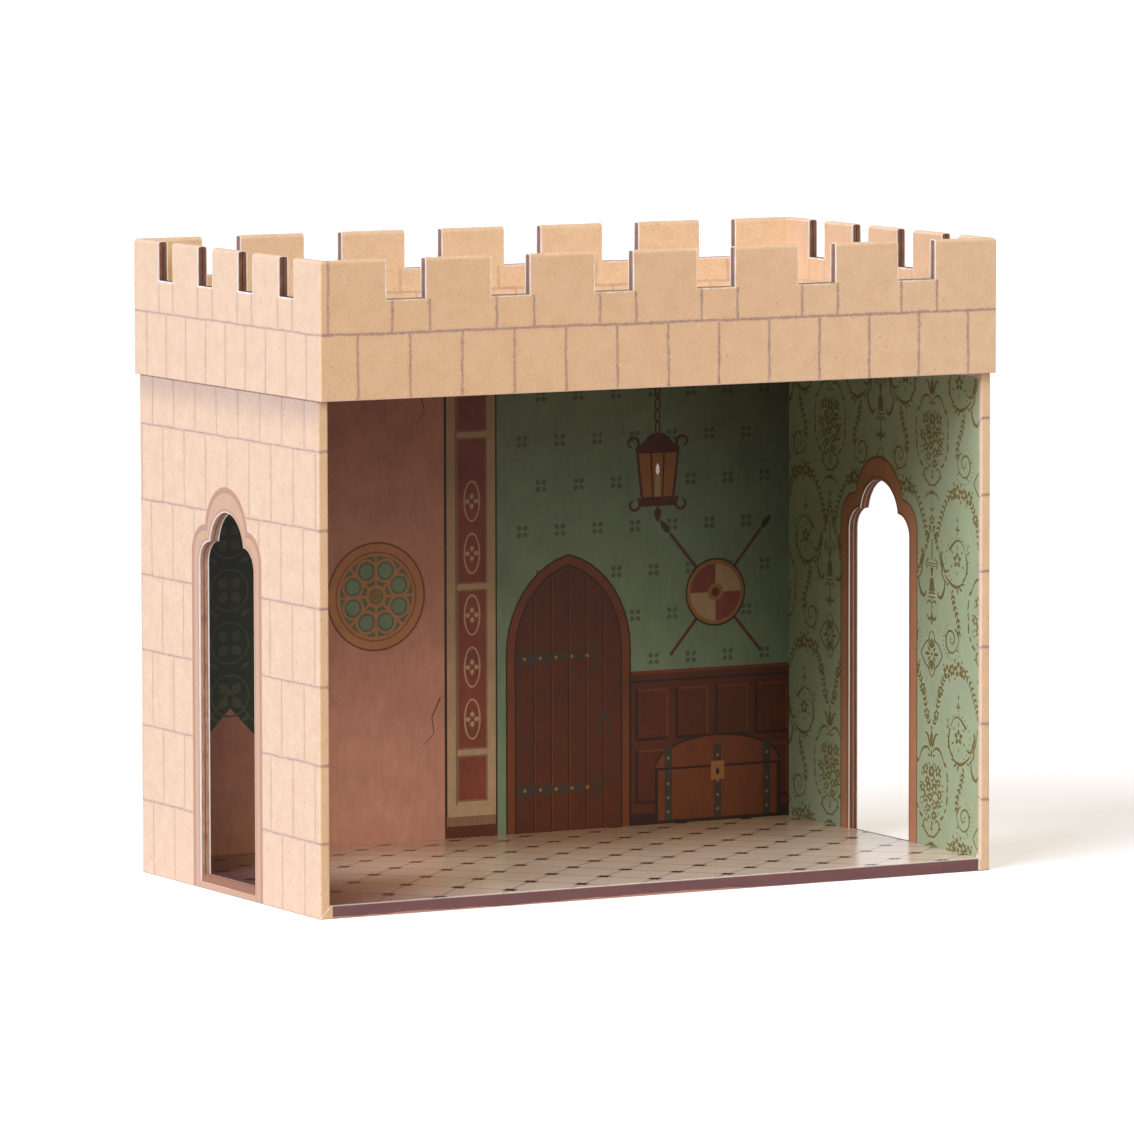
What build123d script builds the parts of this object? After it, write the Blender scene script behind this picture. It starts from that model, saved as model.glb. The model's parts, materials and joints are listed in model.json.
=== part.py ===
"""Toy castle room of rigid board, open at the front, with a battlemented crown that rests on top."""

import os

from build123d import *

# Driving sizes in millimetres, z up, the open front towards -Y
room_width = 308.8
room_depth = 165.0
room_height = 206.4
crown_height = 55.6
crown_side_overhang = 0.6
crown_front_overhang = 3.5
crown_back_overhang = 3.5

# Every wall and floor is two plies of board between two sheets of printed paper, the floor's
# plies being the heavier ones
ply = 1.9
floor_ply = 2.4
paper = 0.3
fold_radius = 0.8
crown_edge_radius = 1.5

# Linings stop short of the open front and of the wall tops, and have rounded corners
lining_margin = 2.0
lining_corner_radius = 3.0
corner_tab = 1.0
edge_lap = 0.6

# The two doorways, each a shouldered trefoil, in the middle of the side walls
door_width = 50.4
door_shift = 1.5
door_spring_height = 133.0
door_shoulder_radius = 9.5
door_lobe_rise = 13.1

# Battlements
crenel_depth = 16.0
front_crenel_width = 17.6
front_crenel_count = 6
side_crenel_width = 13.5
side_crenel_count = 4

# Clearance of a cutting tool past the faces that it opens
past = 2.0

# Levels and faces that follow from the sizes above
core = 2 * ply
wall = core + 2 * paper
crown_width = room_width + 2 * crown_side_overhang
crown_depth = room_depth + crown_front_overhang + crown_back_overhang
room_front = -crown_depth / 2 + crown_front_overhang
room_back = room_front + room_depth
room_side = room_width / 2
crown_side = crown_width / 2
crown_face = crown_depth / 2
seam = paper + ply
lining = paper + core
base_level = paper + floor_ply
floor_level = base_level + floor_ply
floor_top = floor_level + paper
crown_bottom = room_height
crown_top = crown_bottom + crown_height
deck_top = crown_bottom + wall
crenel_bottom = crown_top - crenel_depth
door_y = (room_front + room_back) / 2 + door_shift
door_half = door_width / 2


def span(low, high):
    """Middle and length of the stretch from low to high."""
    return (low + high) / 2, high - low


def field(x_low, x_high, y_low, y_high, mode=Mode.ADD):
    """Rectangle between four sides, in the sketch that is open."""
    (x_mid, x_size), (y_mid, y_size) = span(x_low, x_high), span(y_low, y_high)
    with Locations((x_mid, y_mid)):
        Rectangle(x_size, y_size, mode=mode)


def doorway(sill):
    """Shouldered trefoil from the sill up, as a sketch in a side wall's plane."""
    shoulder_x = door_half - door_shoulder_radius
    shoulder_z = door_spring_height + door_shoulder_radius
    with BuildSketch() as opening:
        with BuildLine():
            Polyline(
                (door_y - door_half, door_spring_height),
                (door_y - door_half, sill),
                (door_y + door_half, sill),
                (door_y + door_half, door_spring_height),
            )
            CenterArc((door_y + shoulder_x, door_spring_height), door_shoulder_radius, 0, 90)
            ThreePointArc(
                (door_y + shoulder_x, shoulder_z),
                (door_y, shoulder_z + door_lobe_rise),
                (door_y - shoulder_x, shoulder_z),
            )
            CenterArc((door_y - shoulder_x, door_spring_height), door_shoulder_radius, 90, 90)
        make_face()
    return opening.sketch


def room_walls(inset):
    """The room's three walls as one upright shell, with every face moved in by inset."""
    side, front, back = room_side - inset, room_front + inset, room_back - inset
    inner_side, inner_back = room_side - wall + inset, room_back - wall + inset
    with BuildPart() as walls:
        with BuildSketch(Plane.XY.offset(paper)):
            field(-side, side, front, back)
            field(-inner_side, inner_side, front, inner_back, mode=Mode.SUBTRACT)
        extrude(amount=room_height - inset - paper)
    return walls.part


def fold(walls, inner_back, radius):
    """Walls with their front ends, back corners and top edges rounded, as a sheet folds over them."""
    with BuildPart() as folded:
        add(walls)
        upright = folded.edges().filter_by(Axis.Z)
        fillet(upright.filter_by(lambda edge: abs(edge.center().Y - inner_back) > radius), radius)
        fillet(folded.faces().sort_by(Axis.Z)[-1].edges(), radius)
    return folded.part


def crown_walls(inset):
    """The crown's four walls as one ring with rounded top edges, its faces moved in by inset."""
    side, face = crown_side - inset, crown_face - inset
    inner_side, inner_face = crown_side - wall + inset, crown_face - wall + inset
    with BuildPart() as walls:
        with BuildSketch(Plane.XY.offset(crown_bottom + paper)):
            field(-side, side, -face, face)
            field(-inner_side, inner_side, -inner_face, inner_face, mode=Mode.SUBTRACT)
        extrude(amount=crown_height - inset - paper)
        if inset == 0:
            corners = walls.edges().filter_by(Axis.Z)
            fillet(corners.filter_by(lambda edge: abs(edge.center().X) > inner_side), fold_radius)
        fillet(walls.faces().sort_by(Axis.Z)[-1].edges(), crown_edge_radius - inset)
    return walls.part


def crenels():
    """Every notch of the battlements, cut straight across the crown both ways."""
    front_pitch = (crown_width + front_crenel_width) / (front_crenel_count + 1)
    side_pitch = (crown_depth + side_crenel_width) / (side_crenel_count + 1)
    with BuildPart() as notches:
        with BuildSketch(Plane.XY.offset(crenel_bottom)):
            with GridLocations(front_pitch, 1, front_crenel_count, 1):
                Rectangle(front_crenel_width, crown_depth + past)
            with GridLocations(1, side_pitch, 1, side_crenel_count):
                Rectangle(crown_width + past, side_crenel_width)
        extrude(amount=crenel_depth + past)
    return notches.part


def board_between(shell, low, high, level):
    """The stretch of a shell above a level and between two corners in plan."""
    with BuildPart() as board:
        add(shell)
        with BuildSketch(Plane.XY.offset(level)):
            field(low[0], high[0], low[1], high[1])
        extrude(amount=room_height + crown_height, mode=Mode.INTERSECT)
    return board.part


def piece(name, part):
    """Labels a finished piece and writes it to its own file."""
    part.label = name
    export_step(part, f"parts/{name}.step")


os.makedirs("parts", exist_ok=True)
room_core = room_walls(paper)
crown_core = crown_walls(paper)
battlement_notches = crenels()

# Sheet under the room, which turns up over the foot of the open front
edge_half = room_side - wall - corner_tab
with BuildPart() as base_paper:
    with BuildSketch():
        field(-room_side, room_side, room_front, room_back)
        chamfer(vertices(), fold_radius / 2)
    extrude(amount=paper)
    with BuildSketch(Plane.XY.offset(paper)):
        field(-edge_half, edge_half, room_front, room_front + paper)
    extrude(amount=edge_lap)
piece("base_paper", base_paper.part)

# Dark strip over the floor boards' front edge, above the turned-up sheet
with BuildPart() as floor_edge_paper:
    with BuildSketch(Plane.XY.offset(paper + edge_lap)):
        field(-edge_half, edge_half, room_front, room_front + paper)
    extrude(amount=2 * floor_ply - edge_lap)
piece("floor_edge_paper", floor_edge_paper.part)

# The outer box's board, which the outer walls stand on
with BuildPart() as base_board:
    with BuildSketch(Plane.XY.offset(paper)):
        field(-room_side + paper, room_side - paper, room_front + paper, room_back - paper)
    extrude(amount=floor_ply)
piece("base_board", base_board.part)

# The inner box's board, which the lining walls stand on
with BuildPart() as floor_board:
    with BuildSketch(Plane.XY.offset(base_level)):
        field(-room_side + seam, room_side - seam, room_front + paper, room_back - seam)
    extrude(amount=floor_ply)
piece("floor_board", floor_board.part)

# Tiled floor sheet between the lining boards
with BuildPart() as tile_paper:
    with BuildSketch(Plane.XY.offset(floor_level)):
        field(-room_side + lining, room_side - lining, room_front + paper, room_back - lining)
    extrude(amount=paper)
piece("tile_paper", tile_paper.part)

# Outer wall boards: the back runs from side to side and the sides butt against it
back_seam = room_back - seam
back_wall_board = board_between(room_core, (-room_side, back_seam), (room_side, room_back), base_level)
piece("back_wall_board", back_wall_board)

# Lining boards stand inside them, butted the same way
lining_side = room_side - seam
lining_seam = room_back - lining
back_lining_board = board_between(
    room_core, (-lining_side, lining_seam), (lining_side, back_seam), floor_level
)
piece("back_lining_board", back_lining_board)

for side, sign in (("left", -1), ("right", 1)):
    wall_low, wall_high = sorted((sign * room_side, sign * lining_side))
    with BuildPart() as side_wall_board:
        add(board_between(room_core, (wall_low, room_front), (wall_high, back_seam), base_level))
        with BuildSketch(Plane.YZ.offset(sign * room_side)):
            add(doorway(0))
        extrude(amount=wall, both=True, mode=Mode.SUBTRACT)
    piece(f"{side}_wall_board", side_wall_board.part)

    lining_low, lining_high = sorted((sign * lining_side, sign * (room_side - lining)))
    with BuildPart() as side_lining_board:
        add(board_between(room_core, (lining_low, room_front), (lining_high, lining_seam), floor_level))
        with BuildSketch(Plane.YZ.offset(sign * room_side)):
            add(doorway(0))
        extrude(amount=2 * wall, both=True, mode=Mode.SUBTRACT)
    piece(f"{side}_lining_board", side_lining_board.part)

    # Wallpaper with rounded front corners, cut out at the doorway
    paper_face = sign * (room_side - wall)
    with BuildPart() as side_wallpaper:
        with BuildSketch(Plane.YZ.offset(min(paper_face, paper_face + sign * paper))):
            field(room_front + lining_margin, room_back - lining, floor_top, room_height - lining_margin)
            fillet(vertices().group_by(Axis.X)[0], lining_corner_radius)
            add(doorway(0), mode=Mode.SUBTRACT)
        extrude(amount=paper)
    piece(f"{side}_wallpaper", side_wallpaper.part)

# Picture sheet on the back wall, between the side wallpapers
paper_side = room_side - wall
with BuildPart() as back_wallpaper:
    with BuildSketch(Plane.XZ.offset(-(room_back - wall))):
        field(-paper_side, paper_side, floor_top, room_height - lining_margin)
    extrude(amount=-paper)
piece("back_wallpaper", back_wallpaper.part)

# Stone-print sheet: over the outside, round the front and top edges and on to the inner faces,
# and down over each doorway's sill
with BuildPart() as stone_wrap:
    add(fold(room_walls(0), room_back - wall, fold_radius))
    add(room_core, mode=Mode.SUBTRACT)
    lining_face = room_side - lining
    with BuildSketch(Plane.XY.offset(paper)):
        field(-lining_face, lining_face, room_front + lining_margin, room_back - lining)
    extrude(amount=room_height - lining_margin - paper, mode=Mode.SUBTRACT)
    foot_face = room_side - wall / 2
    with BuildSketch(Plane.XY.offset(paper)):
        field(-foot_face, foot_face, room_front + paper, room_back - lining)
    extrude(amount=floor_top - paper, mode=Mode.SUBTRACT)
    for sign in (-1, 1):
        tab_low, tab_high = sorted((sign * edge_half, sign * (room_side - wall + fold_radius)))
        with BuildSketch(Plane.XY.offset(paper)):
            field(tab_low, tab_high, room_front, room_front + paper)
        extrude(amount=2 * floor_ply)
        with BuildSketch(Plane.YZ.offset(sign * room_side)):
            add(doorway(base_level))
        extrude(amount=wall, both=True, mode=Mode.SUBTRACT)
        # Flap folded in over the sill, up to the floor board
        edge, step = sign * room_side, sign * (room_side - seam)
        with BuildSketch(Plane.XZ.offset(-(door_y + door_half))):
            with BuildLine():
                Polyline(
                    (edge, base_level - paper),
                    (edge, base_level),
                    (step, floor_top),
                    (sign * lining_face, floor_top),
                    (sign * lining_face, floor_level),
                    (step, floor_level),
                    (edge - sign * paper, base_level),
                    (edge - sign * paper, base_level - paper),
                    close=True,
                )
            make_face()
        extrude(amount=door_width)
piece("stone_wrap", stone_wrap.part)

# Crown: sheet under it, its two bottom boards and the sheet on its deck
inner_side, inner_face = crown_side - seam, crown_face - seam
crown_levels = (
    ("ceiling_paper", crown_side, crown_face, crown_bottom, paper),
    ("crown_base_board", crown_side - paper, crown_face - paper, crown_bottom + paper, ply),
    ("crown_deck_board", inner_side, inner_face, crown_bottom + seam, ply),
    ("deck_paper", crown_side - lining, crown_face - lining, deck_top - paper, paper),
)
for name, half_x, half_y, level, thickness in crown_levels:
    with BuildPart() as crown_sheet:
        with BuildSketch(Plane.XY.offset(level)):
            field(-half_x, half_x, -half_y, half_y)
            if half_x == crown_side:
                chamfer(vertices(), fold_radius / 2)
        extrude(amount=thickness)
    piece(name, crown_sheet.part)

# Crown walls: outer boards stand on the base board, inner ones on the deck board, and at both
# layers the front and the back run from side to side
lining_x, lining_y = crown_side - lining, crown_face - lining
crown_plies = (
    ("outer", crown_side, crown_face, inner_side, inner_face, crown_bottom + seam),
    ("inner", inner_side, inner_face, lining_x, lining_y, deck_top - paper),
)
for layer, half_x, half_y, seam_x, seam_y, level in crown_plies:
    plans = {
        "front": ((-half_x, -half_y), (half_x, -seam_y)),
        "back": ((-half_x, seam_y), (half_x, half_y)),
        "left": ((-half_x, -seam_y), (-seam_x, seam_y)),
        "right": ((seam_x, -seam_y), (half_x, seam_y)),
    }
    for side, (low, high) in plans.items():
        with BuildPart() as crown_board:
            add(board_between(crown_core, low, high, level))
            add(battlement_notches, mode=Mode.SUBTRACT)
        piece(f"crown_{side}_{layer}_board", crown_board.part)

# Stone-print sheet over the crown: outside, over each merlon's rounded top and down the inside
with BuildPart() as crown_wrap:
    add(crown_walls(0))
    add(crown_core, mode=Mode.SUBTRACT)
    with BuildSketch(Plane.XY.offset(crown_bottom)):
        field(-lining_x, lining_x, -lining_y, lining_y)
    extrude(amount=wall, mode=Mode.SUBTRACT)
    add(battlement_notches, mode=Mode.SUBTRACT)
piece("crown_wrap", crown_wrap.part)
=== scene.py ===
"""Toy castle room of printed paper over board: finishes, printed linings, light and camera.

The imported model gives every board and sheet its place. This script gives the wraps their stone
print, the cut boards their fibre and the floor its tiles, lays printed sheets over the three
inner walls, and sets a plain studio round the castle.
"""

import json
import logging
import math
from dataclasses import dataclass, replace
from enum import Enum
from typing import Dict, List, Optional, Sequence, Tuple, Union

import bpy
from mathutils import Matrix, Vector
from mathutils.geometry import delaunay_2d_cdt

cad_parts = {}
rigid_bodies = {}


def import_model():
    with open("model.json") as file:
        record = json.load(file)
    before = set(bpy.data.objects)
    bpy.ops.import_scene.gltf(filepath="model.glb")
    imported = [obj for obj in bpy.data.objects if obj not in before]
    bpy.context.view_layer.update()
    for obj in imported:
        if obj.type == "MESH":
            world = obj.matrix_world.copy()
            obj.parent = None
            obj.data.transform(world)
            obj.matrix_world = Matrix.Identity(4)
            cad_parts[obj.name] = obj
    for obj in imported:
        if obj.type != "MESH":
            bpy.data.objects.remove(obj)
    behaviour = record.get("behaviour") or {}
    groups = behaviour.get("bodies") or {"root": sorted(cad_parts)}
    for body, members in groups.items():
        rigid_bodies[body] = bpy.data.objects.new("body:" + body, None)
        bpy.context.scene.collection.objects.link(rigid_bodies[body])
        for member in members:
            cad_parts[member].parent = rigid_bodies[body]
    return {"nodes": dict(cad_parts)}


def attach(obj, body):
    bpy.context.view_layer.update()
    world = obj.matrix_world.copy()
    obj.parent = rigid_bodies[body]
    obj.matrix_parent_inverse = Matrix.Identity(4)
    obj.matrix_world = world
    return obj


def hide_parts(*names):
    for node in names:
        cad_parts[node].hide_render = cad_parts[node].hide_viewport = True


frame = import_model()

LOG = logging.getLogger("castle")
MM = 0.001
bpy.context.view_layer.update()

Colour = Tuple[float, float, float, float]
Point = Tuple[float, float]
Triple = Tuple[float, float, float]


def ink(red: float, green: float, blue: float) -> Colour:
    """Turn a colour read on a colour chart, 0 to 255, into the linear colour of a shader.

    Args:
        red, green, blue: The colour as a screen shows it.

    Returns:
        The colour as linear light, with full cover.
    """
    def linear(value: float) -> float:
        """One channel as linear light."""
        part = value / 255
        return part / 12.92 if part <= 0.04045 else ((part + 0.055) / 1.055) ** 2.4

    return (linear(red), linear(green), linear(blue), 1.0)


class Slot(Enum):
    """The record's material slots that the printed sheets belong to."""

    WALL = "wall_print"
    PICTURE = "picture_print"


class Field:
    """A number that varies over a surface: one socket in a material's nodes."""

    def __init__(self, surface: "Surface", socket: bpy.types.NodeSocket) -> None:
        """Keep the surface that the number belongs to, and its socket."""
        self.surface = surface
        self.socket = socket

    def __add__(self, other: "Number") -> "Field":
        """Sum."""
        return self.surface.math("ADD", self, other)

    def __sub__(self, other: "Number") -> "Field":
        """Difference."""
        return self.surface.math("SUBTRACT", self, other)

    def __rsub__(self, other: "Number") -> "Field":
        """Difference from a plain number."""
        return self.surface.math("SUBTRACT", other, self)

    def __mul__(self, other: "Number") -> "Field":
        """Product."""
        return self.surface.math("MULTIPLY", self, other)

    def __truediv__(self, other: "Number") -> "Field":
        """Quotient."""
        return self.surface.math("DIVIDE", self, other)

    __radd__ = __add__
    __rmul__ = __mul__

    def __abs__(self) -> "Field":
        """Size without sign."""
        return self.surface.math("ABSOLUTE", self)

    def floor(self) -> "Field":
        """Whole part."""
        return self.surface.math("FLOOR", self)

    def fract(self) -> "Field":
        """What is left over the whole part."""
        return self.surface.math("FRACT", self)

    def above(self, edge: "Number", soft: float = 0.0) -> "Field":
        """1 where the number is above the edge and 0 below it.

        Args:
            edge: Where the step is.
            soft: Half the width over which it turns from 0 to 1.

        Returns:
            The step, a smooth one where soft is given.
        """
        if not soft:
            return self.surface.math("GREATER_THAN", self, edge)
        return (self - edge).eased(0.5 / soft, 0.5)

    def below(self, edge: "Number", soft: float = 0.0) -> "Field":
        """1 where the number is below the edge, as above() does for the other side."""
        return 1.0 - self.above(edge, soft)

    def eased(self, slope: float, start: float) -> "Field":
        """The number times slope plus start, kept between 0 and 1 and eased at both ends."""
        rise = self.surface.math("MULTIPLY_ADD", self, slope, start, clamp=True)
        return rise * rise * (3.0 - 2.0 * rise)

    def nearest(self, first: "Number", pitch: float) -> "Field":
        """Signed distance to the nearest of the marks at first, first + pitch and so on."""
        return (((self - first) / pitch + 0.5).fract() - 0.5) * pitch


Number = Union[Field, float]
Terms = Tuple[Tuple[float, int, int], ...]
Paint = Union[Colour, bpy.types.NodeSocket]


def feed(tree: bpy.types.NodeTree, socket: bpy.types.NodeSocket, value: Union[Number, Paint]) -> None:
    """Link a value to a node's socket, or set it there where it is the same all over.

    Args:
        tree: The node's tree.
        socket: The socket.
        value: A field, another node's socket, a number or a colour.
    """
    if isinstance(value, Field):
        value = value.socket
    if isinstance(value, bpy.types.NodeSocket):
        tree.links.new(value, socket)
    else:
        socket.default_value = value


def add_node(tree: bpy.types.NodeTree, kind: str, inputs: Optional[Dict[Union[int, str], Union[Number, Paint]]] = None,
             **settings: Union[str, bool]) -> bpy.types.Node:
    """Add a node to a tree.

    Args:
        tree: The tree.
        kind: Blender's name for the kind of node.
        inputs: What its sockets are fed, by name or number.
        settings: Its own settings.

    Returns:
        The node.
    """
    node = tree.nodes.new(kind)
    for name, value in settings.items():
        setattr(node, name, value)
    for key, value in (inputs or {}).items():
        feed(tree, node.inputs[key], value)
    return node


class Surface:
    """One material while it is made, with places on the object in millimetres."""

    def __init__(self, name: str) -> None:
        """Start a material with the object's own coordinates and normal.

        Args:
            name: Name of the material.
        """
        self.material = bpy.data.materials.new(name)
        self.material.use_nodes = True
        self.tree = self.material.node_tree
        self.tree.nodes.clear()
        given = add_node(self.tree, "ShaderNodeTexCoord")
        place = add_node(
            self.tree, "ShaderNodeVectorMath", {0: given.outputs["Object"], "Scale": 1 / MM}, operation="SCALE"
        )
        self.x, self.y, self.z = self.split(place.outputs[0])
        self.nx, self.ny, self.nz = self.split(given.outputs["Normal"])

    def along(self, way: str) -> Field:
        """The place along one way: x, y or z."""
        return {"x": self.x, "y": self.y, "z": self.z}[way]

    def split(self, vector: bpy.types.NodeSocket) -> Tuple[Field, Field, Field]:
        """The three parts of a vector."""
        node = add_node(self.tree, "ShaderNodeSeparateXYZ", {0: vector})
        return tuple(Field(self, socket) for socket in node.outputs)

    def join(self, x: Number, y: Number, z: Number) -> bpy.types.NodeSocket:
        """A vector of three numbers."""
        return add_node(self.tree, "ShaderNodeCombineXYZ", {0: x, 1: y, 2: z}).outputs[0]

    def math(self, operation: str, *values: Number, clamp: bool = False) -> Field:
        """One step of arithmetic.

        Args:
            operation: Name of the step, as the Math node has it.
            values: What it works on.
            clamp: Keep the result between 0 and 1.

        Returns:
            The result as a field.
        """
        inputs = dict(enumerate(values))
        node = add_node(self.tree, "ShaderNodeMath", inputs, operation=operation, use_clamp=clamp)
        return Field(self, node.outputs[0])

    def least(self, first: Number, *others: Number) -> Field:
        """The smallest of several numbers."""
        for other in others:
            first = self.math("MINIMUM", first, other)
        return first

    def most(self, first: Number, *others: Number) -> Field:
        """The largest of several numbers."""
        for other in others:
            first = self.math("MAXIMUM", first, other)
        return first

    def distance(self, a: Number, b: Number) -> Field:
        """Length of a step of a one way and b across it."""
        return self.math("SQRT", a * a + b * b)

    def choose(self, test: Number, yes: Number, no: Number) -> Field:
        """The second number where the test is 1, and the third where it is 0."""
        return test * yes + (1.0 - test) * no

    def noise(self, grain: float, detail: float = 2.0, seed: float = 0.0,
              stretch: Sequence[float] = (1, 1, 1)) -> Field:
        """Cloudy variation round 0, mostly between -0.5 and 0.5.

        Args:
            grain: Size of its blotches in millimetres.
            detail: How many finer layers it has.
            seed: Shifts it to another part of the pattern.
            stretch: How much longer the blotches are along x, y and z.

        Returns:
            The variation as a field.
        """
        moved = self.join(
            self.x / (grain * stretch[0]) + seed, self.y / (grain * stretch[1]) - seed,
            self.z / (grain * stretch[2]) + 0.5 * seed,
        )
        node = add_node(self.tree, "ShaderNodeTexNoise", {"Scale": 1.0, "Detail": detail, "Vector": moved})
        return Field(self, node.outputs["Fac"]) - 0.5

    def specks(self, spacing: float, size: float, seed: float = 0.0,
               stretch: Sequence[float] = (1, 1, 1)) -> Field:
        """Sparse dots: 1 inside them and 0 elsewhere.

        Args:
            spacing: Rough distance from one to the next in millimetres.
            size: Their size as a share of the spacing.
            seed: Shifts them to another part of the pattern.
            stretch: How much longer they are along x, y and z.

        Returns:
            The dots as a field.
        """
        moved = self.join(
            self.x / (spacing * stretch[0]) + seed, self.y / (spacing * stretch[1]),
            self.z / (spacing * stretch[2]) - seed,
        )
        node = add_node(self.tree, "ShaderNodeTexVoronoi", {"Scale": 1.0, "Randomness": 1.0, "Vector": moved})
        return Field(self, node.outputs["Distance"]).below(size, 0.4 * size)

    def mix(self, base: Paint, over: Paint, cover: Number, mode: str = "MIX") -> bpy.types.NodeSocket:
        """Lay one colour over another.

        Args:
            base: The colour below.
            over: The colour on top.
            cover: How much of it covers, 0 to 1.
            mode: How the two meet, as the Mix node has it.

        Returns:
            The mixed colour.
        """
        node = add_node(
            self.tree, "ShaderNodeMix", {"Factor": cover}, data_type="RGBA", blend_type=mode, clamp_factor=True
        )
        for socket, paint in zip([s for s in node.inputs if s.type == "RGBA"], (base, over)):
            feed(self.tree, socket, paint)
        return next(s for s in node.outputs if s.type == "RGBA")

    def shade(self, base: Paint, amount: Number) -> bpy.types.NodeSocket:
        """Multiply a colour by 1 + amount, so a positive amount lightens it."""
        plain = base[:3] if isinstance(base, tuple) else base
        inputs = {0: plain, "Scale": amount + 1.0}
        return add_node(self.tree, "ShaderNodeVectorMath", inputs, operation="SCALE").outputs[0]

    def finish(self, colour: Paint, roughness: float, relief: Field, depth: float,
               gloss: Number = 0.5) -> bpy.types.Material:
        """End the material with its shader.

        Args:
            colour: Its colour.
            roughness: Its roughness.
            relief: Height of its grain, 0 to 1.
            depth: How high that grain stands in millimetres.
            gloss: Specular level.

        Returns:
            The finished material.
        """
        bump = add_node(self.tree, "ShaderNodeBump", {"Strength": 1.0, "Distance": depth * MM, "Height": relief})
        shader = add_node(self.tree, "ShaderNodeBsdfPrincipled", {
            "Base Color": colour, "Roughness": roughness, "Specular IOR Level": gloss, "Normal": bump.outputs[0],
        })
        add_node(self.tree, "ShaderNodeOutputMaterial", {0: shader.outputs[0]})
        return self.material


@dataclass(frozen=True)
class Doorway:
    """Outline of a doorway in a side wall, in millimetres: a shouldered trefoil."""

    middle: float = 1.5
    half: float = 25.2
    spring: float = 133.0
    shoulder: float = 9.5
    lobe: float = 15.96
    lobe_height: float = 139.64

    def grown(self, grow: float) -> "Doorway":
        """The outline with its sides moved outwards, and its lobe and shoulders grown with them.

        Args:
            grow: How far the sides are moved.

        Returns:
            The grown outline.
        """
        return replace(
            self, half=self.half + grow, spring=self.spring + 0.5 * grow, shoulder=self.shoulder + 0.46 * grow,
            lobe=self.lobe + 0.55 * grow, lobe_height=self.lobe_height + 0.91 * grow,
        )

    def gap(self, surface: Surface) -> Field:
        """Distance outside the outline, negative inside it.

        Args:
            surface: The material that needs it.

        Returns:
            The distance in millimetres, right near the outline.
        """
        across = abs(surface.y - self.middle)
        jamb = surface.most(across - self.half, surface.z - self.spring)
        corner = surface.distance(
            surface.most(across - (self.half - self.shoulder), 0.0), surface.most(surface.z - self.spring, 0.0)
        ) - self.shoulder
        lobe = surface.distance(across, surface.z - self.lobe_height) - self.lobe
        return surface.least(jamb, corner, lobe)


DOORWAY = Doorway()


@dataclass(frozen=True)
class Shade:
    """Painted shade of a print: it deepens to a tone from one place to another, one way.

    Where it leans, its edge moves by that much for each millimetre up.
    """

    way: str
    start: float
    end: float
    tone: Colour
    lean: float = 0.0

    def cover(self, surface: Surface) -> Field:
        """How far the shade has set in at a place, 0 to 1."""
        place = surface.along(self.way) + self.lean * surface.z
        return (place - self.start).eased(1 / (self.end - self.start), 0.0)

    def lay(self, surface: Surface, paint: Paint) -> bpy.types.NodeSocket:
        """Deepen a colour.

        Args:
            surface: The material that it is for.
            paint: The colour before.

        Returns:
            The colour, multiplied by the tone where the shade is full.
        """
        return surface.mix(paint, self.tone, self.cover(surface), "MULTIPLY")


@dataclass(frozen=True)
class KraftPaper:
    """The tan paper under the stone print."""

    tint: Colour = ink(236, 206, 174)
    shadow: Colour = ink(218, 184, 148)
    fleck: Colour = ink(160, 118, 88)
    # Painted shade: faces towards the front are multiplied by this darker, warmer tone, less so towards the right.
    front_face_shade: Colour = (0.94, 0.88, 0.79, 1.0)
    front_shade_fade: Shade = Shade("x", -60.0, 150.0, (1.0, 1.0, 1.0, 1.0))
    cut: Colour = ink(252, 249, 246)
    roughness: float = 0.72

    def lay(self, surface: Surface) -> Tuple[bpy.types.NodeSocket, Field]:
        """Colour the bare paper.

        Args:
            surface: The material to colour.

        Returns:
            Its colour and the height of its fibres.
        """
        cloud = surface.noise(7.0, 3.0, 3.0)
        fibre = surface.noise(0.7, 3.0, 11.0)
        colour = surface.mix(self.tint, self.shadow, 0.42 + 1.0 * cloud + 1.7 * fibre)
        colour = surface.shade(
            colour, 0.25 * fibre + 0.62 * surface.noise(0.5, 2.0, 5.0) + 0.12 * surface.noise(2.2, 2.0, 9.0)
        )
        # painted shade on the front faces, fading towards the right
        front = surface.ny.below(-0.6, 0.2) * surface.y.below(0.0)
        colour = surface.mix(colour, self.front_face_shade, front * (1.0 - 0.62 * self.front_shade_fade.cover(surface)), "MULTIPLY")
        flecks = surface.specks(4.6, 0.085, 2.0, (1, 1, 1.5)) * surface.noise(9.0, 1.0, 21.0).above(0.0, 0.1)
        colour = surface.mix(colour, self.fleck, 0.42 * flecks)
        pale = surface.specks(3.1, 0.07, 8.0, (1.6, 1.6, 0.8))
        colour = surface.shade(colour, 0.05 * pale)
        return colour, 0.5 + 0.9 * fibre


KRAFT = KraftPaper()


@dataclass(frozen=True)
class StoneInk:
    """The mortar lines of the stone print: thin on the sides and rubbed and bolder on the front."""

    line: Colour = ink(158, 126, 124)
    width: float = 0.8
    cover: float = 0.5
    front_width: float = 1.05
    front_cover: float = 0.7

    def draw(self, surface: Surface, gap: Field, weight: float = 1.0) -> Field:
        """Cover of one set of mortar lines.

        Args:
            surface: The material to draw on.
            gap: Distance to the nearest of the lines in millimetres.
            weight: Strength of this set against the others.

        Returns:
            How much ink covers, 0 to 1.
        """
        front = surface.ny.below(-0.5)
        half = 0.5 * surface.choose(front, self.front_width, self.width)
        ragged = gap + surface.choose(front, 1.5, 0.7) * surface.noise(0.9, 2.0, 7.0)
        strength = surface.choose(front, self.front_cover, self.cover) * (1.0 + 1.3 * surface.noise(2.6, 2.0, 17.0))
        halo = 0.07 * gap.below(1.2, 1.0)
        return ((ragged - half).below(0.0, 0.26) * strength + halo) * weight


MORTAR = StoneInk()
CLEAR = 9.0  # Added to a distance in millimetres where no mortar line may be drawn.


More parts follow.
